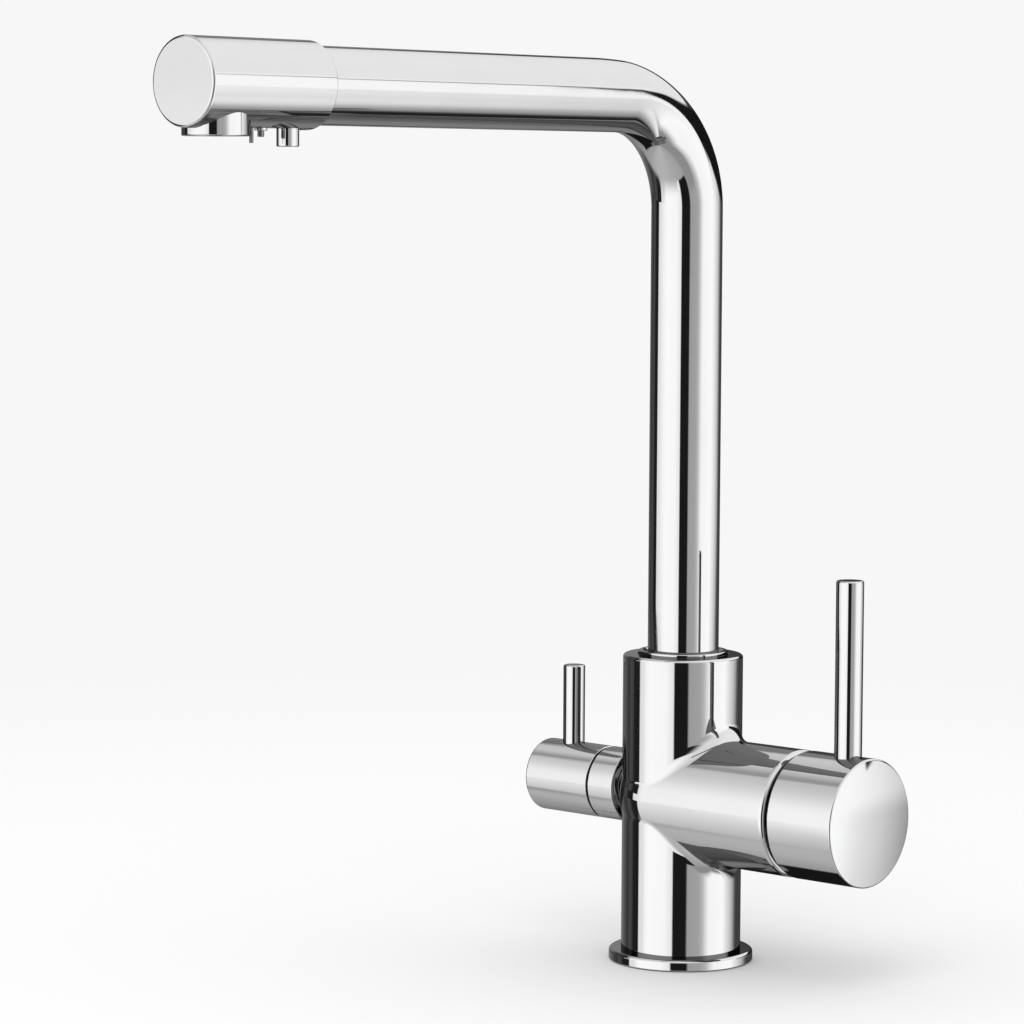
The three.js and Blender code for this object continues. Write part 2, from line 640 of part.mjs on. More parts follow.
// Cap with a thin rim that passes outside the branch as it tilts, a seat for the lever and a boss
// with a square socket for the stem.
function mixerHandle() {
  const rimR = BRANCH_R - HANDLE_RIM_WALL;
  const seatR = BRANCH_R - HANDLE_SEAT_WALL;
  const endWall = HANDLE_END - HANDLE_END_WALL;
  const step = HANDLE_START + HANDLE_STEP;
  const rimEnd = HANDLE_END - HANDLE_CROWN;
  const cap = turned([
    [0, HANDLE_BOSS_START],
    [HANDLE_BOSS_R, HANDLE_BOSS_START],
    [HANDLE_BOSS_R, endWall],
    [seatR, endWall],
    [seatR, step],
    [rimR, step],
    [rimR, HANDLE_START],
    [BRANCH_R - HANDLE_RIM_WALL / 3, HANDLE_START],
    [BRANCH_R, HANDLE_START + HANDLE_RIM_WALL / 3],
    ...rounded(BRANCH_R - HANDLE_EDGE_ROUND, rimEnd - HANDLE_EDGE_ROUND, HANDLE_EDGE_ROUND, 0, 90),
    [BRANCH_R / 2, HANDLE_END - HANDLE_CROWN / 4],
    [0, HANDLE_END],
  ]);
  const half = STEM_SIZE / 2 + SEAT_GAP;
  const socket = block([-half, -half, HANDLE_BOSS_START - 1], [half, half, STEM_END + SEAT_GAP]);
  const leverSeat = bar(LEVER_R + SEAT_GAP, BRANCH_R - LEVER_SEAT_DEPTH, BRANCH_R + 1);
  const studHole = bar(LEVER_STUD_R + SEAT_GAP, HANDLE_BOSS_R + 2, BRANCH_R, TINY_ROUND);
  const grubHole = bar(GRUB_R + SEAT_GAP, 0, BRANCH_R + 1, TINY_ROUND);
  return cut(
    cap,
    socket,
    towardsMinusX(leverSeat).translate(0, 0, LEVER_X),
    towardsMinusX(studHole).translate(0, 0, LEVER_X),
    towardsX(grubHole).translate(0, 0, LEVER_X),
  );
}

// A straight lever with a bevelled tip and a threaded stud that holds it in its seat.
function lever(radius, seat, tip, studR, studL, sides = SMALL_ROUND) {
  return turned([
    [0, seat - studL],
    [studR, seat - studL],
    [studR, seat],
    [radius, seat],
    [radius, tip - LEVER_EDGE],
    [radius - LEVER_EDGE, tip],
    [0, tip],
  ], sides);
}

// A headless screw with a socket for its key.
function grubScrew(radius, from, to) {
  const keyR = radius / 2;
  return turned([
    [0, from],
    [radius, from],
    [radius, to],
    [keyR, to],
    [keyR, to - keyR],
    [0, to - keyR],
  ], TINY_ROUND);
}

// ---- Filtered water valve (heights run outwards from the column's axis) --------------------------

const VALVE_R = VALVE_BORE_R - SEAT_GAP;
const VALVE_INNER_R = VALVE_R - VALVE_WALL;
const VALVE_FIXED_START = VALVE_START + 1;
const VALVE_MOVING_START = VALVE_FIXED_START + VALVE_DISC_H + DISC_GAP;
const SPINDLE_START = VALVE_MOVING_START + VALVE_DISC_H;
const VALVE_SHOULDER = SPINDLE_START + SPINDLE_COLLAR_H + RUNNING_GAP;

function filterSleeve() {
  const seatR = NECK_R + SEAT_GAP;
  const seatEnd = NECK_END + SEAT_GAP;
  const edge = SLEEVE_EDGE;
  return turned([
    [seatR, SLEEVE_START],
    [SLEEVE_R - edge, SLEEVE_START],
    [SLEEVE_R, SLEEVE_START + edge],
    [SLEEVE_R, SLEEVE_END - edge],
    [SLEEVE_R - edge, SLEEVE_END],
    [SLEEVE_BORE_R, SLEEVE_END],
    [SLEEVE_BORE_R, seatEnd],
    [seatR, seatEnd],
  ], MEDIUM_ROUND);
}

function filterValveBody() {
  const headR = SLEEVE_BORE_R - SEAT_GAP;
  const spindleBore = SPINDLE_R + RUNNING_GAP;
  const body = turned([
    [VALVE_INNER_R, VALVE_START],
    [VALVE_R, VALVE_START],
    [VALVE_R, NECK_END + SEAT_GAP],
    [headR, NECK_END + SEAT_GAP],
    [headR, VALVE_HEAD_END],
    [spindleBore, VALVE_HEAD_END],
    [spindleBore, VALVE_SHOULDER],
    [VALVE_INNER_R, VALVE_SHOULDER],
  ], SMALL_ROUND);
  const port = bar(VALVE_PORT_R, -VALVE_R - 1, VALVE_R + 1, TINY_ROUND);
  return cut(body, port.rotateX(Math.PI / 2).translate(0, 0, SPINDLE_START + SPINDLE_COLLAR_H / 2));
}

// A disc of the ceramic pair, with two openings that line up when the valve is open.
function valveDisc(start) {
  const disc = bar(VALVE_INNER_R - SEAT_GAP, start, start + VALVE_DISC_H);
  const holes = [-1, 1].map((side) => {
    const hole = bar(VALVE_INNER_R / 4, start - 1, start + VALVE_DISC_H + 1, TINY_ROUND);
    return hole.translate(0, (side * VALVE_INNER_R) / 2, 0);
  });
  return cut(disc, ...holes);
}

function filterSpindle() {
  const collarEnd = SPINDLE_START + SPINDLE_COLLAR_H;
  return turned([
    [0, SPINDLE_START],
    [VALVE_INNER_R - RUNNING_GAP, SPINDLE_START],
    [VALVE_INNER_R - RUNNING_GAP, collarEnd],
    [SPINDLE_R, collarEnd],
    [SPINDLE_R, SPINDLE_END],
    [0, SPINDLE_END],
  ], SMALL_ROUND);
}

function filterHandle() {
  const rimR = SLEEVE_R - KNOB_WALL;
  const seatR = SLEEVE_R - KNOB_SEAT_WALL;
  const endWall = KNOB_END - KNOB_END_WALL;
  const step = KNOB_START + KNOB_STEP;
  const edge = SLEEVE_EDGE;
  const cap = turned([
    [0, KNOB_BOSS_START],
    [KNOB_BOSS_R, KNOB_BOSS_START],
    [KNOB_BOSS_R, endWall],
    [seatR, endWall],
    [seatR, step],
    [rimR, step],
    [rimR, KNOB_START],
    [SLEEVE_R - edge, KNOB_START],
    [SLEEVE_R, KNOB_START + edge],
    ...rounded(SLEEVE_R - HANDLE_EDGE_ROUND, KNOB_END - HANDLE_EDGE_ROUND, HANDLE_EDGE_ROUND, 0, 90),
    [0, KNOB_END],
  ], MEDIUM_ROUND);
  const socket = bar(SPINDLE_R + SEAT_GAP, KNOB_BOSS_START - 1, SPINDLE_END + SEAT_GAP, SMALL_ROUND);
  const leverSeat = bar(FILTER_LEVER_R + SEAT_GAP, SLEEVE_R - FILTER_LEVER_SEAT, SLEEVE_R + 1);
  const studHole = bar(FILTER_STUD_R + SEAT_GAP, KNOB_BOSS_R + 1, SLEEVE_R, TINY_ROUND);
  const grubHole = bar(FILTER_GRUB_R + SEAT_GAP, 0, SLEEVE_R + 1, TINY_ROUND);
  return cut(
    cap,
    socket,
    towardsX(leverSeat).translate(0, 0, FILTER_LEVER_X),
    towardsX(studHole).translate(0, 0, FILTER_LEVER_X),
    towardsMinusX(grubHole).translate(0, 0, FILTER_LEVER_X),
  );
}

// ---- Spout --------------------------------------------------------------------------------------

// Up from the foot, round the bend and out to the tip. Equal steps of u are equal facets of the bend,
// with one more step for each straight length.
class SpoutPath extends THREE.Curve {
  constructor(foot, tip) {
    super();
    this.foot = foot;
    this.tip = tip;
  }

  bendAngle(u) {
    const station = u * (BEND_STEPS + 2);
    return (Math.PI / 2) * THREE.MathUtils.clamp((station - 1) / BEND_STEPS, 0, 1);
  }

  getPointAt(u) {
    if (u <= 0) return new THREE.Vector3(0, 0, this.foot);
    if (u >= 1) return new THREE.Vector3(0, -this.tip, SPOUT_Z);
    const angle = this.bendAngle(u);
    return new THREE.Vector3(
      0,
      -BEND_R * (1 - Math.cos(angle)),
      SPOUT_Z - BEND_R * (1 - Math.sin(angle)),
    );
  }

  getPoint(t) {
    return this.getPointAt(t);
  }

  getTangentAt(u) {
    const angle = this.bendAngle(u);
    return new THREE.Vector3(0, -Math.sin(angle), Math.cos(angle));
  }
}

function bentTube(radius, wall, foot, tip, sides) {
  const section = new THREE.Shape().absarc(0, 0, radius, 0, 2 * Math.PI);
  section.holes.push(new THREE.Path().absarc(0, 0, radius - wall, 0, 2 * Math.PI));
  return new THREE.ExtrudeGeometry(section, {
    extrudePath: new SpoutPath(foot, tip),
    steps: BEND_STEPS + 2,
    curveSegments: sides / 2,
  });
}

// Brass end of the spout that turns in the column: pipe socket, two seal grooves and a ported floor.
function spoutBush() {
  const pipeSeat = PIPE_R + SEAT_GAP;
  const grooveR = BUSH_R - 2 * ORING_SECTION_R;
  const grooveHalf = ORING_SECTION_R + SEAL_GAP;
  const grooves = ORING_HEIGHTS.flatMap((height) => [
    [BUSH_R, height - grooveHalf],
    [grooveR, height - grooveHalf],
    [grooveR, height + grooveHalf],
    [BUSH_R, height + grooveHalf],
  ]);
  const body = turned([
    [0, BUSH_START],
    [BUSH_R, BUSH_START],
    ...grooves,
    [BUSH_R, BUSH_TOP],
    [pipeSeat, BUSH_TOP],
    [pipeSeat, PIPE_FOOT],
    [0, PIPE_FOOT],
  ], SMALL_ROUND);
  const ports = Array.from({ length: BUSH_PORTS }, (_, i) => {
    const port = bar(BUSH_PORT_R, BUSH_START - 1, PIPE_FOOT + 1, TINY_ROUND);
    return port.translate(BUSH_PORT_CIRCLE_R, 0, 0).rotateZ((2 * Math.PI * i) / BUSH_PORTS);
  });
  return cut(body, bar(INNER_TUBE_R + SEAT_GAP, BUSH_START - 1, PIPE_FOOT + 1), ...ports);
}

// A seal ring with a round section.
function sealRing(centreR, sectionR, height, sides = SMALL_ROUND) {
  const profile = Array.from({ length: SEAL_CORNERS }, (_, i) => {
    const angle = (2 * Math.PI * i) / SEAL_CORNERS;
    return [centreR + sectionR * Math.cos(angle), height + sectionR * Math.sin(angle)];
  });
  return turned(profile, sides);
}

// ---- Spout head (along its axis from the column's axis; its own +Y is up) ------------------------

// A bar that hangs from the head's axis at a distance along the spout, between two drops below it.
function hanging(radius, distance, fromDrop, toDrop, sides = SMALL_ROUND) {
  return bar(radius, fromDrop, toDrop, sides).rotateX(Math.PI / 2).translate(0, 0, distance);
}

// What is milled off under the head to leave a flat from the aerator's boss to past the nozzle.
function outletFlat() {
  return block([-HEAD_R, -HEAD_R - 1, NOZZLE_Y - FLAT_PAST_NOZZLE], [HEAD_R, -FLAT_DROP, AERATOR_Y]);
}

function spoutHead() {
  const pipeSeat = PIPE_R + SEAT_GAP;
  const pipeStop = PIPE_TIP + SEAT_GAP;
  const endWall = HEAD_FRONT - HEAD_END_WALL;
  const outside = turned([
    [0, HEAD_REAR],
    [HEAD_R - HEAD_REAR_EDGE, HEAD_REAR],
    [HEAD_R, HEAD_REAR + HEAD_REAR_EDGE],
    ...rounded(HEAD_R - HEAD_EDGE_ROUND, HEAD_FRONT - HEAD_EDGE_ROUND, HEAD_EDGE_ROUND, 0, 90),
    [0, HEAD_FRONT],
  ]);
  const bosses = [
    hanging(AERATOR_BOSS_R, AERATOR_Y, 0, AERATOR_BOSS_DROP, MEDIUM_ROUND),
    hanging(SCREW_BOSS_R, SCREW_Y, 0, SCREW_BOSS_DROP, TINY_ROUND),
  ];
  return cut(
    join(cut(outside, outletFlat()), ...bosses),
    bar(pipeSeat, HEAD_REAR - 1, pipeStop, ROUND),
    bar(HEAD_CHAMBER_R, pipeStop - 1, endWall, ROUND),
    hanging(AERATOR_SEAT_R - AERATOR_LEDGE, AERATOR_Y, 0, AERATOR_BOSS_DROP),
    hanging(AERATOR_SEAT_R, AERATOR_Y, AERATOR_SEAT_DROP, AERATOR_BOSS_DROP + 1),
    hanging(NOZZLE_R + SEAT_GAP, NOZZLE_Y, 0, HEAD_R + 1),
    hanging(SCREW_R + SEAT_GAP, SCREW_Y, 0, SCREW_BOSS_DROP + 1, TINY_ROUND),
    hanging(HEAD_PIN_R + SEAL_GAP, PIN_Y, 0, HEAD_R + 1, TINY_ROUND),
  );
}

// The spout pipe, notched under its tip.
function spoutTube() {
  const pipe = bentTube(PIPE_R, PIPE_WALL, PIPE_FOOT, PIPE_TIP, PIPE_ROUND);
  const notch = block(
    [-PIPE_NOTCH_W / 2, -PIPE_TIP - 1, SPOUT_Z - PIPE_R - 1],
    [PIPE_NOTCH_W / 2, -PIPE_NOTCH_START, SPOUT_Z - PIPE_R / 2],
  );
  return cut(pipe, notch);
}

// Core in the end of the pipe: takes the filtered water tube, feeds the nozzle below it and lets the
// mixed water pass through the ports round the rest.
function headCore() {
  const coreR = PIPE_R - PIPE_WALL - SEAT_GAP;
  const ports = Array.from({ length: CORE_PORTS }, (_, i) => {
    const port = bar(CORE_PORT_R, CORE_START - 1, CORE_END + 1, TINY_ROUND);
    const turn = CORE_PORT_SPACING * (i - (CORE_PORTS - 1) / 2);
    return port.translate(0, CORE_PORT_CIRCLE_R, 0).rotateZ(THREE.MathUtils.degToRad(turn));
  });
  return cut(
    bar(coreR, CORE_START, CORE_END, PIPE_ROUND),
    ...ports,
    bar(INNER_TUBE_R + SEAT_GAP, CORE_START - 1, CORE_START + CORE_TUBE_SEAT),
    bar(NOZZLE_BORE_R, CORE_START, NOZZLE_Y + NOZZLE_BORE_R, TINY_ROUND),
    hanging(NOZZLE_BORE_R, NOZZLE_Y, 0, coreR, TINY_ROUND),
    hanging(NOZZLE_R + SEAT_GAP, NOZZLE_Y, NOZZLE_TOP_DROP - SEAT_GAP, coreR + 1),
    hanging(SCREW_R + SEAT_GAP, SCREW_Y, SCREW_TOP_DROP - SEAT_GAP, coreR + 1, TINY_ROUND),
  );
}

// ---- Outlets (heights are drops below the head's axis) --------------------------------------------

function aeratorInsert() {
  const end = AERATOR_BOSS_DROP - AERATOR_INSERT_RECESS;
  const start = AERATOR_RING_START;
  const insert = bar(AERATOR_RING_INNER_R - SEAT_GAP, start, end);
  const holes = Array.from({ length: AERATOR_HOLES }, (_, i) => {
    const hole = bar(AERATOR_HOLE_R, start - 1, end + 1, TINY_ROUND).translate(AERATOR_HOLE_CIRCLE_R, 0, 0);
    return hole.rotateZ((2 * Math.PI * i) / AERATOR_HOLES);
  });
  return cut(insert, ...holes);
}

function filterNozzle() {
  const edge = NOZZLE_EDGE;
  return turned([
    [NOZZLE_BORE_R, NOZZLE_TOP_DROP],
    [NOZZLE_R, NOZZLE_TOP_DROP],
    [NOZZLE_R, NOZZLE_DROP - edge],
    [NOZZLE_R - edge, NOZZLE_DROP],
    [NOZZLE_MOUTH_R, NOZZLE_DROP],
    [NOZZLE_MOUTH_R, NOZZLE_MOUTH_DROP],
    [NOZZLE_BORE_R, NOZZLE_MOUTH_DROP],
  ], SMALL_ROUND);
}

// ---- Scene --------------------------------------------------------------------------------------

const tap = new THREE.Group();

// Along the branch, outwards: own +Z is the tap's +X and own -X is up.
const mixer = new THREE.Group();
mixer.position.z = MIXER_Z;
mixer.rotation.y = Math.PI / 2;

// Along the filter neck, outwards: own +Z is the tap's -X and own +X is up.
const filter = new THREE.Group();
filter.position.z = FILTER_Z;
filter.rotation.y = -Math.PI / 2;

// Along the spout head: own +Z is the tap's -Y and own +Y is up.
const head = new THREE.Group();
head.position.z = SPOUT_Z;
head.rotation.x = Math.PI / 2;

tap.add(mixer, filter, head);

function place(parent, name, geometry, material) {
  const mesh = new THREE.Mesh(geometry, material);
  mesh.name = name;
  parent.add(mesh);
  return mesh;
}

place(tap, 'body_casting', bodyCasting(), chrome);
place(tap, 'base_flange', baseFlange(), chrome);
place(tap, 'base_gasket', ring(GASKET_INNER_R, GASKET_OUTER_R, 0, GASKET_H), rubber);
place(tap, 'glide_ring', glideRing(), chrome);

['hot', 'cold', 'mixed'].forEach((port) => {
  const [y, z] = portPlace(port);
  const seal = ring(PORT_R + SEAL_GAP, PORT_R + PORT_SEAL_WALL, 0, PORT_SEAL_H, TINY_ROUND);
  place(mixer, `${port}_port_seal`, seal, rubber).position.set(MIXER_Z - z, y, SEAL_START);
});
place(mixer, 'cartridge_body', cartridgeBody(), blackPlastic);
place(mixer, 'fixed_disc', fixedDisc(), ceramic);
place(mixer, 'moving_disc', movingDisc(), ceramic);
place(mixer, 'cartridge_carrier', cartridgeCarrier(), whitePlastic);
place(mixer, 'pivot_pin', pivotPin(), steel);
place(mixer, 'mixer_stem', mixerStem(), brass);
place(mixer, 'retaining_nut', retainingNut(), brass);
place(mixer, 'dome_cover', domeCover(), chrome);
place(mixer, 'mixer_handle', mixerHandle(), chrome);

const leverSeat = BRANCH_R - LEVER_SEAT_DEPTH;
const mixerLever = lever(LEVER_R, leverSeat, LEVER_TOP - MIXER_Z, LEVER_STUD_R, LEVER_STUD_L);
const mixerLeverMesh = place(mixer, 'mixer_lever', mixerLever, chrome);
mixerLeverMesh.position.z = LEVER_X;
mixerLeverMesh.rotation.y = -Math.PI / 2;

const stemFace = STEM_SIZE / 2 + SEAT_GAP;
const mixerGrub = place(mixer, 'mixer_grub_screw', grubScrew(GRUB_R, stemFace, stemFace + GRUB_L), steel);
mixerGrub.position.z = LEVER_X;
mixerGrub.rotation.y = Math.PI / 2;
const plug = bar(GRUB_R, BRANCH_R - GRUB_PLUG_H - SEAT_GAP, BRANCH_R - SEAT_GAP, TINY_ROUND);
const mixerPlug = place(mixer, 'mixer_grub_plug', plug, whitePlastic);
mixerPlug.position.z = LEVER_X;
mixerPlug.rotation.y = Math.PI / 2;

place(filter, 'filter_sleeve', filterSleeve(), chrome);
place(filter, 'filter_valve_body', filterValveBody(), brass);
const valveSeal = ring(VALVE_INNER_R, VALVE_R, 0, VALVE_SEAL_H, SMALL_ROUND);
place(filter, 'filter_valve_seal', valveSeal, rubber).position.z = VALVE_START - VALVE_SEAL_H - SEAL_GAP;
place(filter, 'filter_fixed_disc', valveDisc(VALVE_FIXED_START), ceramic);
place(filter, 'filter_moving_disc', valveDisc(VALVE_MOVING_START), ceramic);
place(filter, 'filter_spindle', filterSpindle(), brass);
place(filter, 'filter_handle', filterHandle(), chrome);

const filterSeat = SLEEVE_R - FILTER_LEVER_SEAT;
const filterTip = FILTER_LEVER_TOP - FILTER_Z;
const filterLever = lever(FILTER_LEVER_R, filterSeat, filterTip, FILTER_STUD_R, FILTER_STUD_L);
const filterLeverMesh = place(filter, 'filter_lever', filterLever, chrome);
filterLeverMesh.position.z = FILTER_LEVER_X;
filterLeverMesh.rotation.y = Math.PI / 2;

const spindleFace = SPINDLE_R + SEAT_GAP;
const filterGrubBody = grubScrew(FILTER_GRUB_R, spindleFace, spindleFace + FILTER_GRUB_L);
const filterGrub = place(filter, 'filter_grub_screw', filterGrubBody, steel);
filterGrub.position.z = FILTER_LEVER_X;
filterGrub.rotation.y = -Math.PI / 2;

place(tap, 'spout_tube', spoutTube(), chrome);
const innerTip = CORE_START + CORE_TUBE_SEAT - SEAT_GAP;
const innerTube = bentTube(INNER_TUBE_R, INNER_TUBE_WALL, BUSH_START, innerTip, FINE_TUBE_ROUND);
place(tap, 'filtered_water_tube', innerTube, whitePlastic);
place(tap, 'spout_bush', spoutBush(), brass);
ORING_HEIGHTS.forEach((height, i) => {
  const seal = sealRing(BUSH_R - ORING_SECTION_R, ORING_SECTION_R - SEAL_GAP, 0);
  place(tap, `spout_seal_${i + 1}`, seal, rubber).position.z = height;
});

place(head, 'spout_head', spoutHead(), chrome);
place(head, 'head_core', headCore(), brass);
place(head, 'head_screw', hanging(SCREW_R, SCREW_Y, SCREW_TOP_DROP, SCREW_DROP, TINY_ROUND), steel);
place(head, 'head_pin', hanging(HEAD_PIN_R, PIN_Y, HEAD_PIN_TOP_DROP, HEAD_PIN_DROP, TINY_ROUND), steel);

// The outlets hang down: own +Z is the tap's -Z, measured from the head's axis.
const outlets = new THREE.Group();
outlets.rotation.x = Math.PI / 2;
head.add(outlets);
const aerator = new THREE.Group();
aerator.position.y = AERATOR_Y;
const nozzle = new THREE.Group();
nozzle.position.y = NOZZLE_Y;
outlets.add(aerator, nozzle);

const ringOuter = AERATOR_SEAT_R - SEAT_GAP;
const ringEnd = AERATOR_BOSS_DROP - AERATOR_RECESS;
const washerInner = AERATOR_SEAT_R - AERATOR_LEDGE;
const washerEnd = AERATOR_WASHER_START + AERATOR_WASHER_H;
const washer = ring(washerInner, ringOuter, AERATOR_WASHER_START, washerEnd, SMALL_ROUND);
place(aerator, 'aerator_washer', washer, rubber);
const aeratorRing = ring(AERATOR_RING_INNER_R, ringOuter, AERATOR_RING_START, ringEnd, ROUND);
place(aerator, 'aerator_ring', aeratorRing, chrome);
place(aerator, 'aerator_insert', aeratorInsert(), whitePlastic);
place(nozzle, 'filter_nozzle', filterNozzle(), chrome);
const linerStart = NOZZLE_MOUTH_DROP + SEAT_GAP;
const linerEnd = NOZZLE_DROP - NOZZLE_LINER_RECESS;
const liner = ring(NOZZLE_BORE_R, NOZZLE_MOUTH_R - SEAT_GAP, linerStart, linerEnd, TINY_ROUND);
place(nozzle, 'nozzle_liner', liner, whitePlastic);

export default tap;
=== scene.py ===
"""Looks of the three way filtered water tap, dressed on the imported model.

The pieces' sizes are in millimetres, as in the solids; Blender's objects are in metres.
"""
import json
import math

import bpy
from mathutils import Matrix, Vector


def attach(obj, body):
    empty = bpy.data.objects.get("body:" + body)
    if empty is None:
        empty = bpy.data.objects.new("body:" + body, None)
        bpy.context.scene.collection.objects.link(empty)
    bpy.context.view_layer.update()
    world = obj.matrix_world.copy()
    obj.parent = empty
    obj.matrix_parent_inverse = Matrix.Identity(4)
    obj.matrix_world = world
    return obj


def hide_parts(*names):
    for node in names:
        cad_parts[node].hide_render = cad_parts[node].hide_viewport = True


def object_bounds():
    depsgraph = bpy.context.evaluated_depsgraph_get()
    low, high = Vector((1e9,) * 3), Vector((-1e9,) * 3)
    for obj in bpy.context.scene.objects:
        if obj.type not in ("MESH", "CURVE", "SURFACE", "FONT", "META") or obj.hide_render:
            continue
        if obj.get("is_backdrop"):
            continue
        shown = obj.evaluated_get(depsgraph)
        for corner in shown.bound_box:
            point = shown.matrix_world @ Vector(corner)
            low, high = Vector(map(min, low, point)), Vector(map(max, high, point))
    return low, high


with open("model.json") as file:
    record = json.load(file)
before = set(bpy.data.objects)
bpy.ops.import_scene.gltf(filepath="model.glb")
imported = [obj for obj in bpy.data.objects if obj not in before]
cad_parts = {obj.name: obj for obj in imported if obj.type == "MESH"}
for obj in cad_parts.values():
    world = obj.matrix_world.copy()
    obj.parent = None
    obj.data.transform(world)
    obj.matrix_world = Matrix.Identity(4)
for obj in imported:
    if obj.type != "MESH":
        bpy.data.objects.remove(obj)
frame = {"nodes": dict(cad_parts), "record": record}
cad_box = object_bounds()

MM = 0.001

# ---- Camera: the photograph's viewpoint, in metres and degrees -----------------------------------------

CAMERA_AZIMUTH = 40.173
CAMERA_DISTANCE = 1.380
CAMERA_HEIGHT = 0.2816
CAMERA_YAW = 2.618
CAMERA_PITCH = 4.847
CAMERA_ROLL = 0.29
SENSOR = 36.0
PHOTO_WIDTH = 1024
FOCAL_PIXELS = 3783.0
CAMERA_REACH = 20


def place_camera():
    """A camera that looks at the tap as the photograph's does."""
    data = bpy.data.cameras.new("photo_camera")
    data.sensor_width = SENSOR
    data.lens = FOCAL_PIXELS * SENSOR / PHOTO_WIDTH
    data.clip_end = CAMERA_REACH
    camera = bpy.data.objects.new("photo_camera", data)
    bpy.context.scene.collection.objects.link(camera)
    azimuth = math.radians(CAMERA_AZIMUTH)
    heading = math.radians(CAMERA_AZIMUTH + CAMERA_YAW)
    pitch = math.radians(CAMERA_PITCH)
    roll = math.radians(CAMERA_ROLL)
    flat = math.cos(pitch)
    forward = Vector((-math.sin(heading) * flat, math.cos(heading) * flat, -math.sin(pitch)))
    right = Vector((math.cos(heading), math.sin(heading), 0))
    up = right.cross(forward)
    rolled_right = right * math.cos(roll) + up * math.sin(roll)
    rolled_up = up * math.cos(roll) - right * math.sin(roll)
    turn = Matrix((rolled_right, rolled_up, -forward)).transposed().to_4x4()
    spot = Vector((math.sin(azimuth), -math.cos(azimuth), 0)) * CAMERA_DISTANCE
    spot.z = CAMERA_HEIGHT
    camera.matrix_world = Matrix.Translation(spot) @ turn
    bpy.context.scene.camera = camera


place_camera()

# ---- Node helpers ------------------------------------------------------------------------------------


class Nodes:
    """Short calls for making and linking shader nodes in one tree."""

    def __init__(self, tree):
        self.tree = tree
        tree.nodes.clear()

    def add(self, kind, values=None, **settings):
        node = self.tree.nodes.new(kind)
        for name, value in settings.items():
            setattr(node, name, value)
        for name, value in (values or {}).items():
            self.feed(node.inputs[name], value)
        return node

    def feed(self, socket, value):
        if isinstance(value, bpy.types.NodeSocket):
            self.tree.links.new(value, socket)
        else:
            socket.default_value = value

    def math(self, operation, *values, clamp=False):
        node = self.add("ShaderNodeMath", operation=operation, use_clamp=clamp)
        for socket, value in zip(node.inputs, values):
            self.feed(socket, value)
        return node.outputs[0]

    def times(self, *values):
        """The product of several values."""
        product = values[0]
        for value in values[1:]:
            product = self.math("MULTIPLY", product, value)
        return product

    def step(self, value, start, end, low=0.0, high=1.0):
        """A smooth step from low to high while value goes from start to end."""
        limits = {"Value": value, "From Min": start, "From Max": end, "To Min": low, "To Max": high}
        return self.add("ShaderNodeMapRange", limits, interpolation_type="SMOOTHSTEP").outputs[0]

    def noise(self, scale, detail=3.0, roughness=0.5, vector=None):
        values = {"Scale": scale, "Detail": detail, "Roughness": roughness}
        if vector is not None:
            values["Vector"] = vector
        return self.add("ShaderNodeTexNoise", values).outputs[0]

    def blend(self, factor, first, second):
        """A colour mixed from two."""
        node = self.add("ShaderNodeMix", data_type="RGBA")
        self.feed(node.inputs[0], factor)
        self.feed(node.inputs[6], first)
        self.feed(node.inputs[7], second)
        return node.outputs[2]

    def place(self):
        return self.add("ShaderNodeTexCoord").outputs["Object"]


def grey(value):
    return (value, value, value, 1.0)


def opaque(colour, shade=1.0):
    """A colour socket's value from three numbers, darkened by shade."""
    return (*(channel * shade for channel in colour), 1.0)


# ---- Materials ---------------------------------------------------------------------------------------


def material(name, colour, roughness, metallic=0.0, **sockets):
    """A Principled material with uniform values; returns it with its nodes and shader."""
    made = bpy.data.materials.new(name)
    made.use_nodes = True
    nodes = Nodes(made.node_tree)
    shader = nodes.add("ShaderNodeBsdfPrincipled")
    shader.inputs["Base Color"].default_value = opaque(colour)
    shader.inputs["Roughness"].default_value = roughness
    shader.inputs["Metallic"].default_value = metallic
    for socket, value in sockets.items():
        shader.inputs[socket.replace("_", " ")].default_value = value
    output = nodes.add("ShaderNodeOutputMaterial")
    made.node_tree.links.new(shader.outputs[0], output.inputs["Surface"])
    return made, nodes, shader


def bump(nodes, shader, height, strength, distance):
    """Bump from a height; distance is in metres."""
    values = {"Height": height, "Strength": strength, "Distance": distance}
    nodes.feed(shader.inputs["Normal"], nodes.add("ShaderNodeBump", values).outputs[0])


CHROME = (0.93, 0.932, 0.936)
HAZE_RISE = 0.035  # how much rougher the haziest places are
FINE_HAZE = 0.012
HAZE_SHADE = 0.975


def chrome_material(name, colour=CHROME, floor=0.022):
    """Polished chrome plate: faint buffing haze and a very slight waviness of the polished metal."""
    made, nodes, shader = material(name, colour, floor, 1.0)
    place = nodes.place()
    haze = nodes.noise(scale=45, detail=5, roughness=0.6, vector=place)
    fine = nodes.noise(scale=900, detail=2, roughness=0.5, vector=place)
    waves = nodes.noise(scale=70, detail=2, roughness=0.4, vector=place)
    wiped = nodes.step(haze, 0.35, 0.75, low=floor, high=floor + HAZE_RISE)
    nodes.feed(shader.inputs["Roughness"], nodes.math("ADD", wiped, nodes.times(fine, FINE_HAZE)))
    nodes.feed(shader.inputs["Base Color"], nodes.blend(nodes.step(haze, 0.3, 0.8), opaque(colour),
                                                        opaque(colour, HAZE_SHADE)))
    bump(nodes, shader, waves, strength=0.02, distance=0.0006)
    return made


BRIGHT_BRASS = (0.8, 0.6, 0.28)
DULL_BRASS = (0.55, 0.38, 0.17)


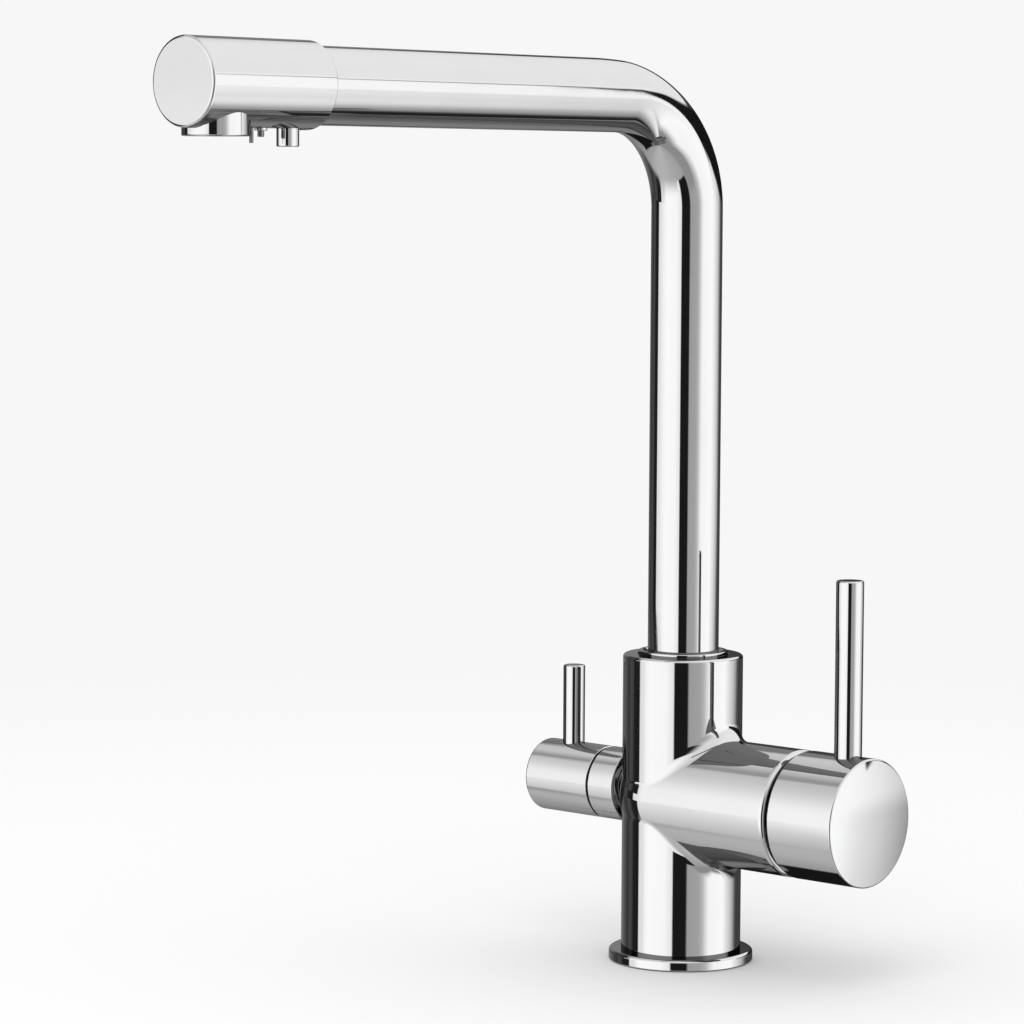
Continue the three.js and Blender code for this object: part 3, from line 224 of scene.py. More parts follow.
def brass_material():
    """Machined brass: turning marks and a little tarnish."""
    made, nodes, shader = material("machined_brass", (0.78, 0.58, 0.26), 0.28, metallic=1.0)
    place = nodes.place()
    tarnish = nodes.noise(scale=160, detail=6, roughness=0.65, vector=place)
    marks = nodes.noise(scale=2400, detail=2, roughness=0.5, vector=place)
    colour = nodes.blend(nodes.step(tarnish, 0.35, 0.75), opaque(BRIGHT_BRASS), opaque(DULL_BRASS))
    nodes.feed(shader.inputs["Base Color"], colour)
    nodes.feed(shader.inputs["Roughness"], nodes.step(tarnish, 0.3, 0.8, low=0.22, high=0.42))
    bump(nodes, shader, marks, strength=0.12, distance=0.0002)
    return made


def steel_material():
    """Plain stainless steel of the small screws."""
    made, nodes, shader = material("stainless_steel", (0.34, 0.34, 0.35), 0.32, metallic=1.0)
    grain = nodes.noise(scale=1800, detail=4, roughness=0.6, vector=nodes.place())
    nodes.feed(shader.inputs["Roughness"], nodes.step(grain, 0.3, 0.7, low=0.24, high=0.4))
    nodes.feed(shader.inputs["Base Color"], nodes.blend(grain, grey(0.3), grey(0.4)))
    bump(nodes, shader, grain, strength=0.15, distance=0.0001)
    return made


CLOUD_SHADE = 0.86


def moulded_material(name, colour, roughness, depth):
    """A moulded plastic or rubber with a fine texture and slight cloudiness."""
    made, nodes, shader = material(name, colour, roughness)
    place = nodes.place()
    cloud = nodes.noise(scale=120, detail=4, roughness=0.55, vector=place)
    texture = nodes.noise(scale=3500, detail=3, roughness=0.6, vector=place)
    tint = nodes.blend(nodes.step(cloud, 0.3, 0.75), opaque(colour), opaque(colour, CLOUD_SHADE))
    nodes.feed(shader.inputs["Base Color"], tint)
    uneven = nodes.step(texture, 0.25, 0.75, low=roughness - 0.06, high=roughness + 0.08)
    nodes.feed(shader.inputs["Roughness"], uneven)
    bump(nodes, shader, texture, strength=0.25, distance=depth)
    return made


PALE_CERAMIC = (0.87, 0.86, 0.82)
CERAMIC_SPECK = (0.78, 0.77, 0.72)


def ceramic_material():
    """Lapped alumina: nearly white, fine speckle, half gloss."""
    made, nodes, shader = material("lapped_ceramic", (0.86, 0.85, 0.81), 0.22)
    speckle = nodes.noise(scale=1500, detail=3, roughness=0.7, vector=nodes.place())
    colour = nodes.blend(nodes.step(speckle, 0.45, 0.75), opaque(PALE_CERAMIC), opaque(CERAMIC_SPECK))
    nodes.feed(shader.inputs["Base Color"], colour)
    nodes.feed(shader.inputs["Roughness"], nodes.step(speckle, 0.3, 0.7, low=0.16, high=0.3))
    bump(nodes, shader, speckle, strength=0.08, distance=0.0001)
    return made


LOOKS = {
    "chrome": chrome_material("polished_chrome"),
    "brass": brass_material(),
    "steel": steel_material(),
    "rubber": moulded_material("black_rubber", (0.03, 0.03, 0.031), 0.62, 0.0001),
    "ceramic": ceramic_material(),
    "black_plastic": moulded_material("black_plastic", (0.035, 0.035, 0.04), 0.42, 0.00008),
    "white_plastic": moulded_material("white_plastic", (0.8, 0.8, 0.78), 0.36, 0.00006),
}

# ---- Surfaces of revolution with exact normals -------------------------------------------------------

TURN_SIDES = 192
SMALL_SIDES = 64
ROUND_STEPS = 6


class Surface:
    """Collects faces with a normal at each of their corners, then makes one mesh object of them."""

    def __init__(self):
        self.points = []
        self.faces = []
        self.normals = []

    def ring(self, points):
        """Adds points and returns their numbers."""
        start = len(self.points)
        self.points.extend(Vector(point) for point in points)
        return list(range(start, len(self.points)))

    def face(self, corners, normals):
        kept = [i for i, corner in enumerate(corners) if corner not in corners[:i]]
        if len(kept) > 2:
            self.faces.append([corners[i] for i in kept])
            self.normals.append([normals[i] for i in kept])

    def strip(self, low, high, low_normals, high_normals, closed=True):
        """Faces between two rings; the rings run anticlockwise seen from outside with high above low."""
        count = len(low)
        for j in range(count if closed else count - 1):
            k = (j + 1) % count
            corners = [low[j], low[k], high[k], high[j]]
            self.face(corners, [low_normals[j], low_normals[k], high_normals[k], high_normals[j]])

    def object(self, name, matrix=Matrix()):
        """The finished object, with its own points moved by matrix (millimetres) and then to metres."""
        mesh = bpy.data.meshes.new(name)
        moved = [(matrix @ point) * MM for point in self.points]
        mesh.from_pydata(moved, [], self.faces)
        turn = matrix.to_3x3()
        normals = [(turn @ Vector(normal)).normalized() for corner in self.normals for normal in corner]
        for polygon in mesh.polygons:
            polygon.use_smooth = True
        mesh.update()
        mesh.normals_split_custom_set(normals)
        made = bpy.data.objects.new(name, mesh)
        bpy.context.scene.collection.objects.link(made)
        return made


def strokes(corners, steps=ROUND_STEPS, closed=True):
    """Turns an outline of (r, h, rounding) corners, anticlockwise with the metal inside, into strokes.

    A stroke is a list of (r, h, normal r, normal h); each starts where the one before ends.
    """
    count = len(corners)
    made = []
    starts = []
    for i, (r, h, rounding) in enumerate(corners):
        here = Vector((r, h))
        inner = 0 < i < count - 1 or closed
        if not inner or rounding <= 0:
            starts.append((here, here, None))
            continue
        before = Vector(corners[i - 1][:2])
        after = Vector(corners[(i + 1) % count][:2])
        incoming = (here - before).normalized()
        outgoing = (after - here).normalized()
        turn = incoming.angle_signed(outgoing)
        reach = rounding * math.tan(abs(turn) / 2)
        starts.append((here - incoming * reach, here + outgoing * reach, (incoming, outgoing, turn)))
    total = count if closed else count - 1
    for i in range(total):
        _, start, arc = starts[i]
        end = starts[(i + 1) % count][0]
        if arc is not None:
            entry = starts[i][0]
            incoming, outgoing, turn = arc
            rounding = corners[i][2]
            convex = turn < 0
            side = 1 if convex else -1
            first = Vector((incoming.y, -incoming.x))
            centre = entry - first * rounding * side
            curve = []
            for step in range(steps + 1):
                angle = -turn * step / steps
                normal = Vector((
                    first.x * math.cos(angle) - first.y * math.sin(angle),
                    first.x * math.sin(angle) + first.y * math.cos(angle),
                ))
                point = centre + normal * rounding * side
                curve.append((point.x, point.y, normal.x, normal.y))
            made.append(curve)
        if (end - start).length > 1e-6:
            along = (end - start).normalized()
            normal = (along.y, -along.x)
            made.append([(*start, *normal), (*end, *normal)])
    return made


def add_turned(surface, corners, sides=TURN_SIDES, closed=True, matrix=Matrix(), steps=ROUND_STEPS):
    """Adds the surface swept by an outline turned about +Z, moved by matrix."""
    turn = matrix.to_3x3()
    angles = [2 * math.pi * j / sides for j in range(sides)]
    circle = [(math.cos(angle), math.sin(angle)) for angle in angles]

    def ring(r, h):
        if abs(r) < 1e-6:
            return surface.ring([matrix @ Vector((0, 0, h))]) * sides
        return surface.ring([matrix @ Vector((r * c, r * s, h)) for c, s in circle])

    def normals(nr, nh):
        return [turn @ Vector((nr * c, nr * s, nh)) for c, s in circle]

    lines = strokes(corners, steps, closed)
    first = previous = ring(*lines[0][0][:2])
    for number, stroke in enumerate(lines):
        for i in range(1, len(stroke)):
            last = closed and number == len(lines) - 1 and i == len(stroke) - 1
            current = first if last else ring(*stroke[i][:2])
            surface.strip(previous, current, normals(*stroke[i - 1][2:]), normals(*stroke[i][2:]))
            previous = current


def add_rings(surface, rings, matrix, sides=TURN_SIDES):
    """Adds a surface turned about +Z through rings of (r, h, normal r, normal h)."""
    turn = matrix.to_3x3()
    circle = [(math.cos(2 * math.pi * j / sides), math.sin(2 * math.pi * j / sides)) for j in range(sides)]
    previous = None
    for r, h, nr, nh in rings:
        numbers = surface.ring([matrix @ Vector((r * c, r * s, h)) for c, s in circle])
        normals = [turn @ Vector((nr * c, nr * s, nh)).normalized() for c, s in circle]
        if previous:
            surface.strip(previous[0], numbers, previous[1], normals)
        previous = (numbers, normals)


def turned(name, corners, matrix, sides=TURN_SIDES, closed=True):
    surface = Surface()
    add_turned(surface, corners, sides, closed)
    return surface.object(name, matrix)


def dress(piece, body, slot, *nodes):
    """Gives a piece its look and its body, and hides the CAD nodes it stands for."""
    piece.data.materials.append(LOOKS[slot])
    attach(piece, body)
    if nodes:
        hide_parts(*nodes)
    return piece


# ---- Sizes, as in the solids -------------------------------------------------------------------------

FIT = 0.3  # play where one piece slips over another

COLUMN_R = 22
COLUMN_TOP = 113
COLUMN_EDGE = 1.2
SPIGOT_R = 20
SPIGOT_LIFT = 0.6
RECESS_R = 17.5
RECESS_TOP = 26
SOCKET_R = 15.8
SOCKET_FLOOR = 75.7
FLANGE_R = 26.5
FLANGE_H = 4
GROOVE_IN = 21.2
GROOVE_OUT = 25.2
GROOVE_DEPTH = 1.5
SEAL_IN = 21.5
SEAL_OUT = 24.9
SEAL_H = 1.2
GUIDE_R = 16.3
GUIDE_DEPTH = 2
GUIDE_RISE = 1.4

MIXER_Z = 60
BRANCH_R = 23
BRANCH_END = 56.7
BRANCH_ROUND = 2
BLEND_R = 6
CARTRIDGE_R = 18.3
CARTRIDGE_FLOOR = 24
NUT_R = 20.3
NUT_SHOULDER = 46
PIVOT_X = 40.2
DOME_SKIRT_R = 20
DOME_HOLE_R = 15.5
DOME_WALL = 1.5
DOME_RISE = 16.5  # from the tilt axis to the upper edge of the skirt
DOME_START = NUT_SHOULDER + 6.3
HANDLE_START = 58.2
HANDLE_END = 88
HANDLE_EDGE = 0.8
HANDLE_CROWN = 1.2
HANDLE_SWEEP = 1.4  # the end face is shaded as if crowned this much more
HANDLE_HUB_R = 8
HANDLE_HUB_START = 66
HANDLE_BORE_R = 17.5
HANDLE_BORE_END = 84.5
HANDLE_LIP_R = 21.5
HANDLE_LIP_END = 70.5
LEVER_R = 4.95
LEVER_X = 76.7
LEVER_TOP = 145.5

FILTER_Z = 61.5
NECK_R = 10
NECK_END = 27
VALVE_R = 7.3
VALVE_FLOOR = 9.5
SLEEVE_R = 13.5
SLEEVE_START = 22.7
SLEEVE_END = 34.8
SLEEVE_HOLE_R = 8.6
SLEEVE_SHOULDER = 27.3
KNOB_START = 35.5
KNOB_END = 66
KNOB_HUB_R = 7.3
KNOB_HUB_START = 42
KNOB_BORE_R = 9.5
KNOB_BORE_END = 62.5
KNOB_LIP_R = 11.7
KNOB_LIP_END = 47
FILTER_LEVER_R = 4.1
FILTER_LEVER_X = 53.5
FILTER_LEVER_TOP = 104.1

PIPE_R = 13
PIPE_WALL = 1.2
PIPE_FOOT = 82
PIPE_TIP = 214
SPOUT_Z = 315.6
BEND_R = 40
BEND_DENT = 2.3  # how much the bending flattened the outer side; the solid is round there
DENT_LENGTH = 97.0  # measured along the outer side, from the foot of the bend

HEAD_R = 14.6
HEAD_REAR = 192
HEAD_FRONT = 246.4
FLAT_DROP = 14.1
FLAT_START = 195.4
AERATOR_Y = 232.2
AERATOR_R = 11
AERATOR_DROP = 17
AERATOR_SEAT_R = 9.6
AERATOR_SEAT_DROP = 12.8
AERATOR_HOLE_R = AERATOR_SEAT_R - 1.2
AERATOR_ROOT = 4
RING_IN = 8.3
RING_OUT = 9.3
RING_TOP = 14
RING_DROP = 16.6
NOZZLE_Y = 200.6
NOZZLE_R = 3.7
NOZZLE_ROOT = 8.3
NOZZLE_DROP = 20
NOZZLE_BORE_R = 1.9
NOZZLE_MOUTH_R = 2.9
NOZZLE_SHOULDER = 15
LINER_R = 2.6
LINER_START = 15.3
LINER_DROP = 19.6
SCREW_Y = 212.6
SCREW_R = 1.1
SCREW_SLOT_R = 0.55
SCREW_SLOT_DEPTH = 0.7
SCREW_ROOT = 10
SCREW_DROP = 17
BOSS_R = 2.1
BOSS_ROOT = 12
BOSS_DROP = 15
PIN_Y = 216.8
PIN_R = 0.7
PIN_ROOT = 13
PIN_DROP = 19

UPRIGHT = Matrix()
TO_RIGHT = Matrix.Translation((0, 0, MIXER_Z)) @ Matrix.Rotation(math.pi / 2, 4, "Y")
TO_LEFT = Matrix.Translation((0, 0, FILTER_Z)) @ Matrix.Rotation(-math.pi / 2, 4, "Y")
TO_FRONT = Matrix.Translation((0, 0, SPOUT_Z)) @ Matrix.Rotation(math.pi / 2, 4, "X")


def hanging(distance):
    """Heights as drops below the head's axis, at a distance along the spout."""
    return Matrix.Translation((0, -distance, SPOUT_Z)) @ Matrix.Rotation(math.pi, 4, "X")


# ---- Casting: column, branch, neck and the rolling-ball blend between them ----------------------------

CAST_COLUMNS = 240
HALF = CAST_COLUMNS // 2  # the stations up to this one are on the branch's side
BLEND_STEPS = 12
BAND_STEPS = 12
MOUTH_STEPS = 8
NECK_SIDES = 96
NECK_ROOT = 0.05  # how far the neck starts inside the column's wall
COLUMN_REACH = COLUMN_R + BLEND_R
BRANCH_REACH = BRANCH_R + BLEND_R


def ball(ray, j):
    """Middle of the rolling ball over station j, and the point of the branch's axis it leans from."""
    centre = ray * COLUMN_REACH
    if j <= HALF:
        centre.z = math.sqrt(max(BRANCH_REACH ** 2 - centre.y ** 2, 0))
        return centre, Vector((centre.x if j not in (0, HALF) else 0, 0, 0))
    centre.z = math.sqrt(BRANCH_REACH ** 2 - COLUMN_REACH ** 2)
    return centre, Vector()


def add_blend(surface, radial, side):
    """The blend over (side 1) or under (side -1) the branch, and the column past it.

    Returns the blend's last ring, which lies on the branch.
    """
    mirror = Matrix.Diagonal((1, 1, side)).to_4x4()
    lift = Matrix.Translation((0, 0, MIXER_Z)) @ mirror
    arcs = []
    arc_normals = []
    for step in range(BLEND_STEPS + 1):
        points = []
        normals = []
        for j, outward in enumerate(radial):
            centre, leaning = ball(outward, j)
            on_column = outward * COLUMN_R + Vector((0, 0, centre.z))
            on_branch = leaning + (centre - leaning).normalized() * BRANCH_R
            first = on_column - centre
            second = on_branch - centre
            angle = first.angle(second) * step / BLEND_STEPS
            axis = first.cross(second).normalized()
            ray = Matrix.Rotation(angle, 3, axis) @ first
            points.append(lift @ (centre + ray))
            normals.append(mirror.to_3x3() @ (-ray / BLEND_R))
        arcs.append(surface.ring(points))
        arc_normals.append(normals)
    for step in range(BLEND_STEPS):
        low, high = (step + 1, step) if side > 0 else (step, step + 1)
        surface.strip(arcs[low], arcs[high], arc_normals[low], arc_normals[high])
    # The column from the blend up to its rim, or down to the flange.
    end = COLUMN_TOP - COLUMN_EDGE if side > 0 else FLANGE_H
    rim = surface.ring([ray * COLUMN_R + Vector((0, 0, end)) for ray in radial])
    low, high = (arcs[0], rim) if side > 0 else (rim, arcs[0])
    surface.strip(low, high, radial, radial)
    return arcs[-1]


def add_inner_end(surface, radial, upper, lower):
    """Round inner end of the branch, which shows as a low swelling on the column; returns its rows."""
    tilt = math.asin(COLUMN_REACH / BRANCH_REACH)
    away = [j % CAST_COLUMNS for j in range(HALF, CAST_COLUMNS + 1)]
    rows = [[upper[j] for j in away]]
    row_normals = []
    for step in range(BAND_STEPS + 1):
        angle = tilt + (math.pi - 2 * tilt) * step / BAND_STEPS
        normals = [radial[j] * math.sin(angle) + Vector((0, 0, math.cos(angle))) for j in away]
        row_normals.append(normals)
        if 0 < step < BAND_STEPS:
            rows.append(surface.ring([n * BRANCH_R + Vector((0, 0, MIXER_Z)) for n in normals]))
    rows.append([lower[j] for j in away])
    for step in range(BAND_STEPS):
        surface.strip(rows[step + 1], rows[step], row_normals[step + 1], row_normals[step], closed=False)
    return rows


def add_branch(surface, upper, lower, rows):
    """The branch from the seam of the blend out to its rounded mouth, and the bore for the cartridge."""
    seam = [upper[j] for j in range(HALF + 1)]
    seam += [row[0] for row in rows[1:-1]]
    seam += [lower[j] for j in range(HALF, -1, -1)]
    seam += [row[-1] for row in rows[-2:0:-1]]
    outward = []
    for number in seam:
        point = surface.points[number] - Vector((0, 0, MIXER_Z))
        outward.append(Vector((0, point.y, point.z)).normalized())
    mouth = BRANCH_END - BRANCH_ROUND
    profile = [(BRANCH_R, mouth, 1.0, 0.0)]
    for step in range(1, MOUTH_STEPS + 1):
        angle = math.pi / 2 * step / MOUTH_STEPS
        radius = BRANCH_R - BRANCH_ROUND * (1 - math.cos(angle))
        profile.append((radius, mouth + BRANCH_ROUND * math.sin(angle), math.cos(angle), math.sin(angle)))

    def branch_ring(radius, x):
        return surface.ring([o * radius + Vector((x, 0, MIXER_Z)) for o in outward])

    def branch_normals(across, along):
        return [o * across + Vector((along, 0, 0)) for o in outward]

    # The seam runs clockwise seen from the mouth, so the mouth's rings are the low ones.
    previous = seam
    previous_normals = outward
    for radius, x, across, along in profile:
        current = branch_ring(radius, x)
        normals = branch_normals(across, along)
        surface.strip(current, previous, normals, previous_normals)
        previous, previous_normals = current, normals
    inside = [
        (NUT_R, BRANCH_END, (0, 1)), (NUT_R, NUT_SHOULDER, (-1, 0)), (CARTRIDGE_R, NUT_SHOULDER, (0, 1)),
        (CARTRIDGE_R, CARTRIDGE_FLOOR, (-1, 0)), (0.01, CARTRIDGE_FLOOR, (0, 1)),
    ]
    for radius, x, facing in inside:
        current = branch_ring(radius, x)
        normals = branch_normals(*facing)
        surface.strip(current, previous, normals, normals)
        previous = current


def add_column_ends(surface):
    """The column's rim with the guide's seat and the spout's socket, and its foot with the hose recess."""
    guide = GUIDE_R + FIT
    seat = COLUMN_TOP - GUIDE_DEPTH
    add_turned(surface, [
        (COLUMN_R, COLUMN_TOP - COLUMN_EDGE, 0), (COLUMN_R, COLUMN_TOP, COLUMN_EDGE),
        (guide, COLUMN_TOP, 0.15), (guide, seat, 0), (SOCKET_R, seat, 0), (SOCKET_R, SOCKET_FLOOR, 0),
        (0, SOCKET_FLOOR, 0),
    ], closed=False)
    add_turned(surface, [
        (0, RECESS_TOP, 0), (RECESS_R, RECESS_TOP, 0), (RECESS_R, SPIGOT_LIFT, 0),
        (SPIGOT_R, SPIGOT_LIFT, 0.2), (SPIGOT_R, FLANGE_H, 0), (COLUMN_R, FLANGE_H, 0),
    ], closed=False)


def add_neck(surface):
    """Neck of the filter valve, from the column's wall outwards, with its bore."""
    edge = 0.3
    circle = [(math.cos(2 * math.pi * j / NECK_SIDES), math.sin(2 * math.pi * j / NECK_SIDES))
              for j in range(NECK_SIDES)]
    out = [TO_LEFT.to_3x3() @ Vector((c, s, 0)) for c, s in circle]
    root = surface.ring([
        TO_LEFT @ Vector((NECK_R * c, NECK_R * s, math.sqrt(COLUMN_R ** 2 - (NECK_R * s) ** 2) - NECK_ROOT))
        for c, s in circle
    ])
    end = surface.ring([TO_LEFT @ Vector((NECK_R * c, NECK_R * s, NECK_END - edge)) for c, s in circle])
    surface.strip(root, end, out, out)
    add_turned(surface, [
        (NECK_R, NECK_END - edge, 0), (NECK_R, NECK_END, edge), (VALVE_R, NECK_END, 0),
        (VALVE_R, VALVE_FLOOR, 0), (0, VALVE_FLOOR, 0),
    ], sides=NECK_SIDES, closed=False, matrix=TO_LEFT)


def casting():
    surface = Surface()
    angles = [math.radians(-90 + 360 * j / CAST_COLUMNS) for j in range(CAST_COLUMNS)]
    radial = [Vector((math.cos(angle), math.sin(angle), 0)) for angle in angles]
    upper = add_blend(surface, radial, 1)
    lower = add_blend(surface, radial, -1)
    rows = add_inner_end(surface, radial, upper, lower)
    add_branch(surface, upper, lower, rows)
    add_column_ends(surface)
    add_neck(surface)
    return surface.object("column_casting")


dress(casting(), "tap_body", "chrome", "body_casting")

# ---- Foot and guide ring -----------------------------------------------------------------------------

dress(turned("foot_flange", [
    (SPIGOT_R + FIT, 0, 0), (GROOVE_IN, 0, 0), (GROOVE_IN, GROOVE_DEPTH, 0), (GROOVE_OUT, GROOVE_DEPTH, 0),
    (GROOVE_OUT, 0, 0), (FLANGE_R, 0, 0.4), (FLANGE_R, FLANGE_H, 1.3), (SPIGOT_R + FIT, FLANGE_H, 0),
], UPRIGHT), "tap_body", "chrome", "base_flange")

dress(turned("foot_seal", [
    (SEAL_IN, 0, 0.2), (SEAL_OUT, 0, 0.3), (SEAL_OUT, SEAL_H, 0.2), (SEAL_IN, SEAL_H, 0.2),
], UPRIGHT), "tap_body", "rubber", "base_gasket")

dress(turned("pipe_guide", [
    (PIPE_R + FIT, COLUMN_TOP - GUIDE_DEPTH, 0), (GUIDE_R, COLUMN_TOP - GUIDE_DEPTH, 0),
    (GUIDE_R, COLUMN_TOP + GUIDE_RISE, 0.45), (PIPE_R + 1.6, COLUMN_TOP + GUIDE_RISE, 0.5),
    (PIPE_R + FIT, COLUMN_TOP + GUIDE_RISE - 1, 0.3),
], UPRIGHT), "tap_body", "chrome", "glide_ring")

# ---- Mixer -------------------------------------------------------------------------------------------

DOME_STEPS = 14


def dome():
    """Cover in the branch's mouth, part of a ball about the tilt axis."""
    outer = math.hypot(DOME_SKIRT_R, DOME_RISE)
    inner_skirt = DOME_SKIRT_R - DOME_WALL

    def arc(radius, first, last):
        made = []
        for i in range(DOME_STEPS + 1):
            r = first + (last - first) * i / DOME_STEPS
            made.append((r, PIVOT_X + math.sqrt(radius ** 2 - r ** 2), 0))
        return made

    return turned("branch_dome", [
        (DOME_SKIRT_R, DOME_START, 0), *arc(outer, DOME_SKIRT_R, DOME_HOLE_R),
        *arc(outer - DOME_WALL, DOME_HOLE_R, inner_skirt), (inner_skirt, DOME_START, 0),
    ], TO_RIGHT)


dress(dome(), "tap_body", "chrome", "dome_cover")

CROWN_STEPS = 24


def handle_cap():
    """Cap of the mixer: its end face is slightly crowned, and its edge rolls over into the side."""
    surface = Surface()
    rim = HANDLE_END - HANDLE_CROWN
    add_turned(surface, [
        (0, HANDLE_HUB_START, 0), (HANDLE_HUB_R, HANDLE_HUB_START, 0.3), (HANDLE_HUB_R, HANDLE_BORE_END, 0.5),
        (HANDLE_BORE_R, HANDLE_BORE_END, 1), (HANDLE_BORE_R, HANDLE_LIP_END, 0.3),
        (HANDLE_LIP_R, HANDLE_LIP_END, 0.5), (HANDLE_LIP_R, HANDLE_START, 0.25),
        (BRANCH_R, HANDLE_START, 0.7), (BRANCH_R, rim - HANDLE_EDGE, 0),
    ], closed=False, matrix=TO_RIGHT)

    def slope(radius):
        """How far the end face is shaded as leaning outwards at a radius, in radians."""
        return 2 * HANDLE_SWEEP * HANDLE_CROWN * radius / BRANCH_R ** 2

    rings = []
    for step in range(ROUND_STEPS + 1):
        angle = (math.pi / 2 - slope(BRANCH_R - HANDLE_EDGE)) * step / ROUND_STEPS
        along, across = math.sin(angle), math.cos(angle)
        rings.append((BRANCH_R - HANDLE_EDGE * (1 - across), rim - HANDLE_EDGE * (1 - along), across, along))
    edge = rings[-1][0]
    for step in range(1, CROWN_STEPS):
        radius = edge * (1 - step / CROWN_STEPS)
        height = HANDLE_END - HANDLE_CROWN * (radius / BRANCH_R) ** 2
        rings.append((radius, height, math.sin(slope(radius)), math.cos(slope(radius))))
    rings.append((0.01, HANDLE_END, 0.0, 1.0))
    add_rings(surface, rings, TO_RIGHT)
    return surface.object("handle_cap")


dress(handle_cap(), "mixer_lever_unit", "chrome", "mixer_handle")

LEVER_SIDES = 128


def lever(name, spot, radius, seat, length, stud_r, stud_length):
    """Straight lever standing on a handle at spot, with the stud that holds it."""
    return turned(name, [
        (0, seat - stud_length, 0), (stud_r, seat - stud_length, 0.3),
        (stud_r, seat, 0), (radius, seat, 0.15),
        (radius, length, 0.7), (0, length, 0),
    ], Matrix.Translation(spot), sides=LEVER_SIDES, closed=False)


dress(lever("mixer_rod", (LEVER_X, 0, MIXER_Z), LEVER_R, seat=19, length=LEVER_TOP - MIXER_Z,
            stud_r=3, stud_length=4.5), "mixer_lever_unit", "chrome", "mixer_lever")

# ---- Filter valve ------------------------------------------------------------------------------------

dress(turned("neck_sleeve", [
    (NECK_R + FIT, SLEEVE_START, 0.2), (SLEEVE_R, SLEEVE_START, 0.5), (SLEEVE_R, SLEEVE_END, 0.5),
    (SLEEVE_HOLE_R, SLEEVE_END, 0.2), (SLEEVE_HOLE_R, SLEEVE_SHOULDER, 0), (NECK_R + FIT, SLEEVE_SHOULDER, 0),
], TO_LEFT), "tap_body", "chrome", "filter_sleeve")

dress(turned("knob_cap", [
    (0, KNOB_HUB_START, 0), (KNOB_HUB_R, KNOB_HUB_START, 0.3), (KNOB_HUB_R, KNOB_BORE_END, 0.4),
    (KNOB_BORE_R, KNOB_BORE_END, 0.8), (KNOB_BORE_R, KNOB_LIP_END, 0.3), (KNOB_LIP_R, KNOB_LIP_END, 0.3),
    (KNOB_LIP_R, KNOB_START, 0.2), (SLEEVE_R, KNOB_START, 0.45), (SLEEVE_R, KNOB_END, 0.8), (0, KNOB_END, 0),
], TO_LEFT, closed=False), "filter_knob", "chrome", "filter_handle")

dress(lever("filter_rod", (-FILTER_LEVER_X, 0, FILTER_Z), FILTER_LEVER_R, seat=10.9,
            length=FILTER_LEVER_TOP - FILTER_Z, stud_r=2.2, stud_length=2.8),
      "filter_knob", "chrome", "filter_lever")

# ---- Spout pipe --------------------------------------------------------------------------------------

PIPE_SIDES = 160
BEND_STATIONS = 72
PAST_STATIONS = 10
ACROSS = Vector((1, 0, 0))


def pipe_stations():
    """Points of the pipe's axis, each with its direction and how far along the dent it is."""
    stations = [(Vector((0, 0, PIPE_FOOT)), Vector((0, 0, 1)), 0.0)]
    for i in range(BEND_STATIONS + 1):
        angle = math.pi / 2 * i / BEND_STATIONS
        point = Vector((0, -BEND_R * (1 - math.cos(angle)), SPOUT_Z - BEND_R * (1 - math.sin(angle))))
        stations.append((point, Vector((0, -math.sin(angle), math.cos(angle))), (BEND_R + PIPE_R) * angle))
    outer_arc = (BEND_R + PIPE_R) * math.pi / 2
    for i in range(1, PAST_STATIONS + 1):
        reach = (DENT_LENGTH - outer_arc) * i / PAST_STATIONS
        stations.append((Vector((0, -BEND_R - reach, SPOUT_Z)), Vector((0, -1, 0)), outer_arc + reach))
    stations.append((Vector((0, -PIPE_TIP, SPOUT_Z)), Vector((0, -1, 0)), DENT_LENGTH))
    return stations


def pipe_section(surface, point, along, reach, radius):
    """A ring of points round the pipe with its normals; the outer half is pressed in along the bend."""
    turn = math.pi * reach / DENT_LENGTH
    dent = BEND_DENT * math.sin(turn) ** 2
    slope = BEND_DENT * math.pi / DENT_LENGTH * math.sin(2 * turn)
    out = along.cross(ACROSS)
    spots = []
    normals = []
    for j in range(PIPE_SIDES):
        angle = 2 * math.pi * j / PIPE_SIDES
        side, rise = math.cos(angle), math.sin(angle)
        press = max(rise, 0.0)
        spots.append(point + (ACROSS * side + out * rise) * radius - out * dent * press ** 2)
        around = (out * side - ACROSS * rise) * radius - out * 2 * dent * press * side
        normals.append(around.cross(along - out * slope * press ** 2).normalized())
    return surface.ring(spots), normals


def pipe():
    """The bent pipe with its wall, from its foot in the column to its tip in the head."""
    stations = pipe_stations()
    surface = Surface()
    outer = [pipe_section(surface, *station, PIPE_R) for station in stations]
    inner = [pipe_section(surface, *station, PIPE_R - PIPE_WALL) for station in stations]
    for (low, low_normals), (high, high_normals) in zip(outer, outer[1:]):
        surface.strip(low, high, low_normals, high_normals)
    for (low, low_normals), (high, high_normals) in zip(inner, inner[1:]):
        surface.strip(high, low, [-normal for normal in high_normals], [-normal for normal in low_normals])
    for index, sign in ((0, -1), (-1, 1)):
        facing = [stations[index][1] * sign] * PIPE_SIDES
        rings = (outer[index][0], inner[index][0])
        low, high = rings if sign > 0 else rings[::-1]
        surface.strip(low, high, facing, facing)
    return surface.object("spout_pipe")


dress(pipe(), "spout", "chrome", "spout_tube")

# ---- Spout head --------------------------------------------------------------------------------------

HEAD_ROWS_PER_MM = 1.6
REAR_EDGE = 0.5
FRONT_EDGE = 1


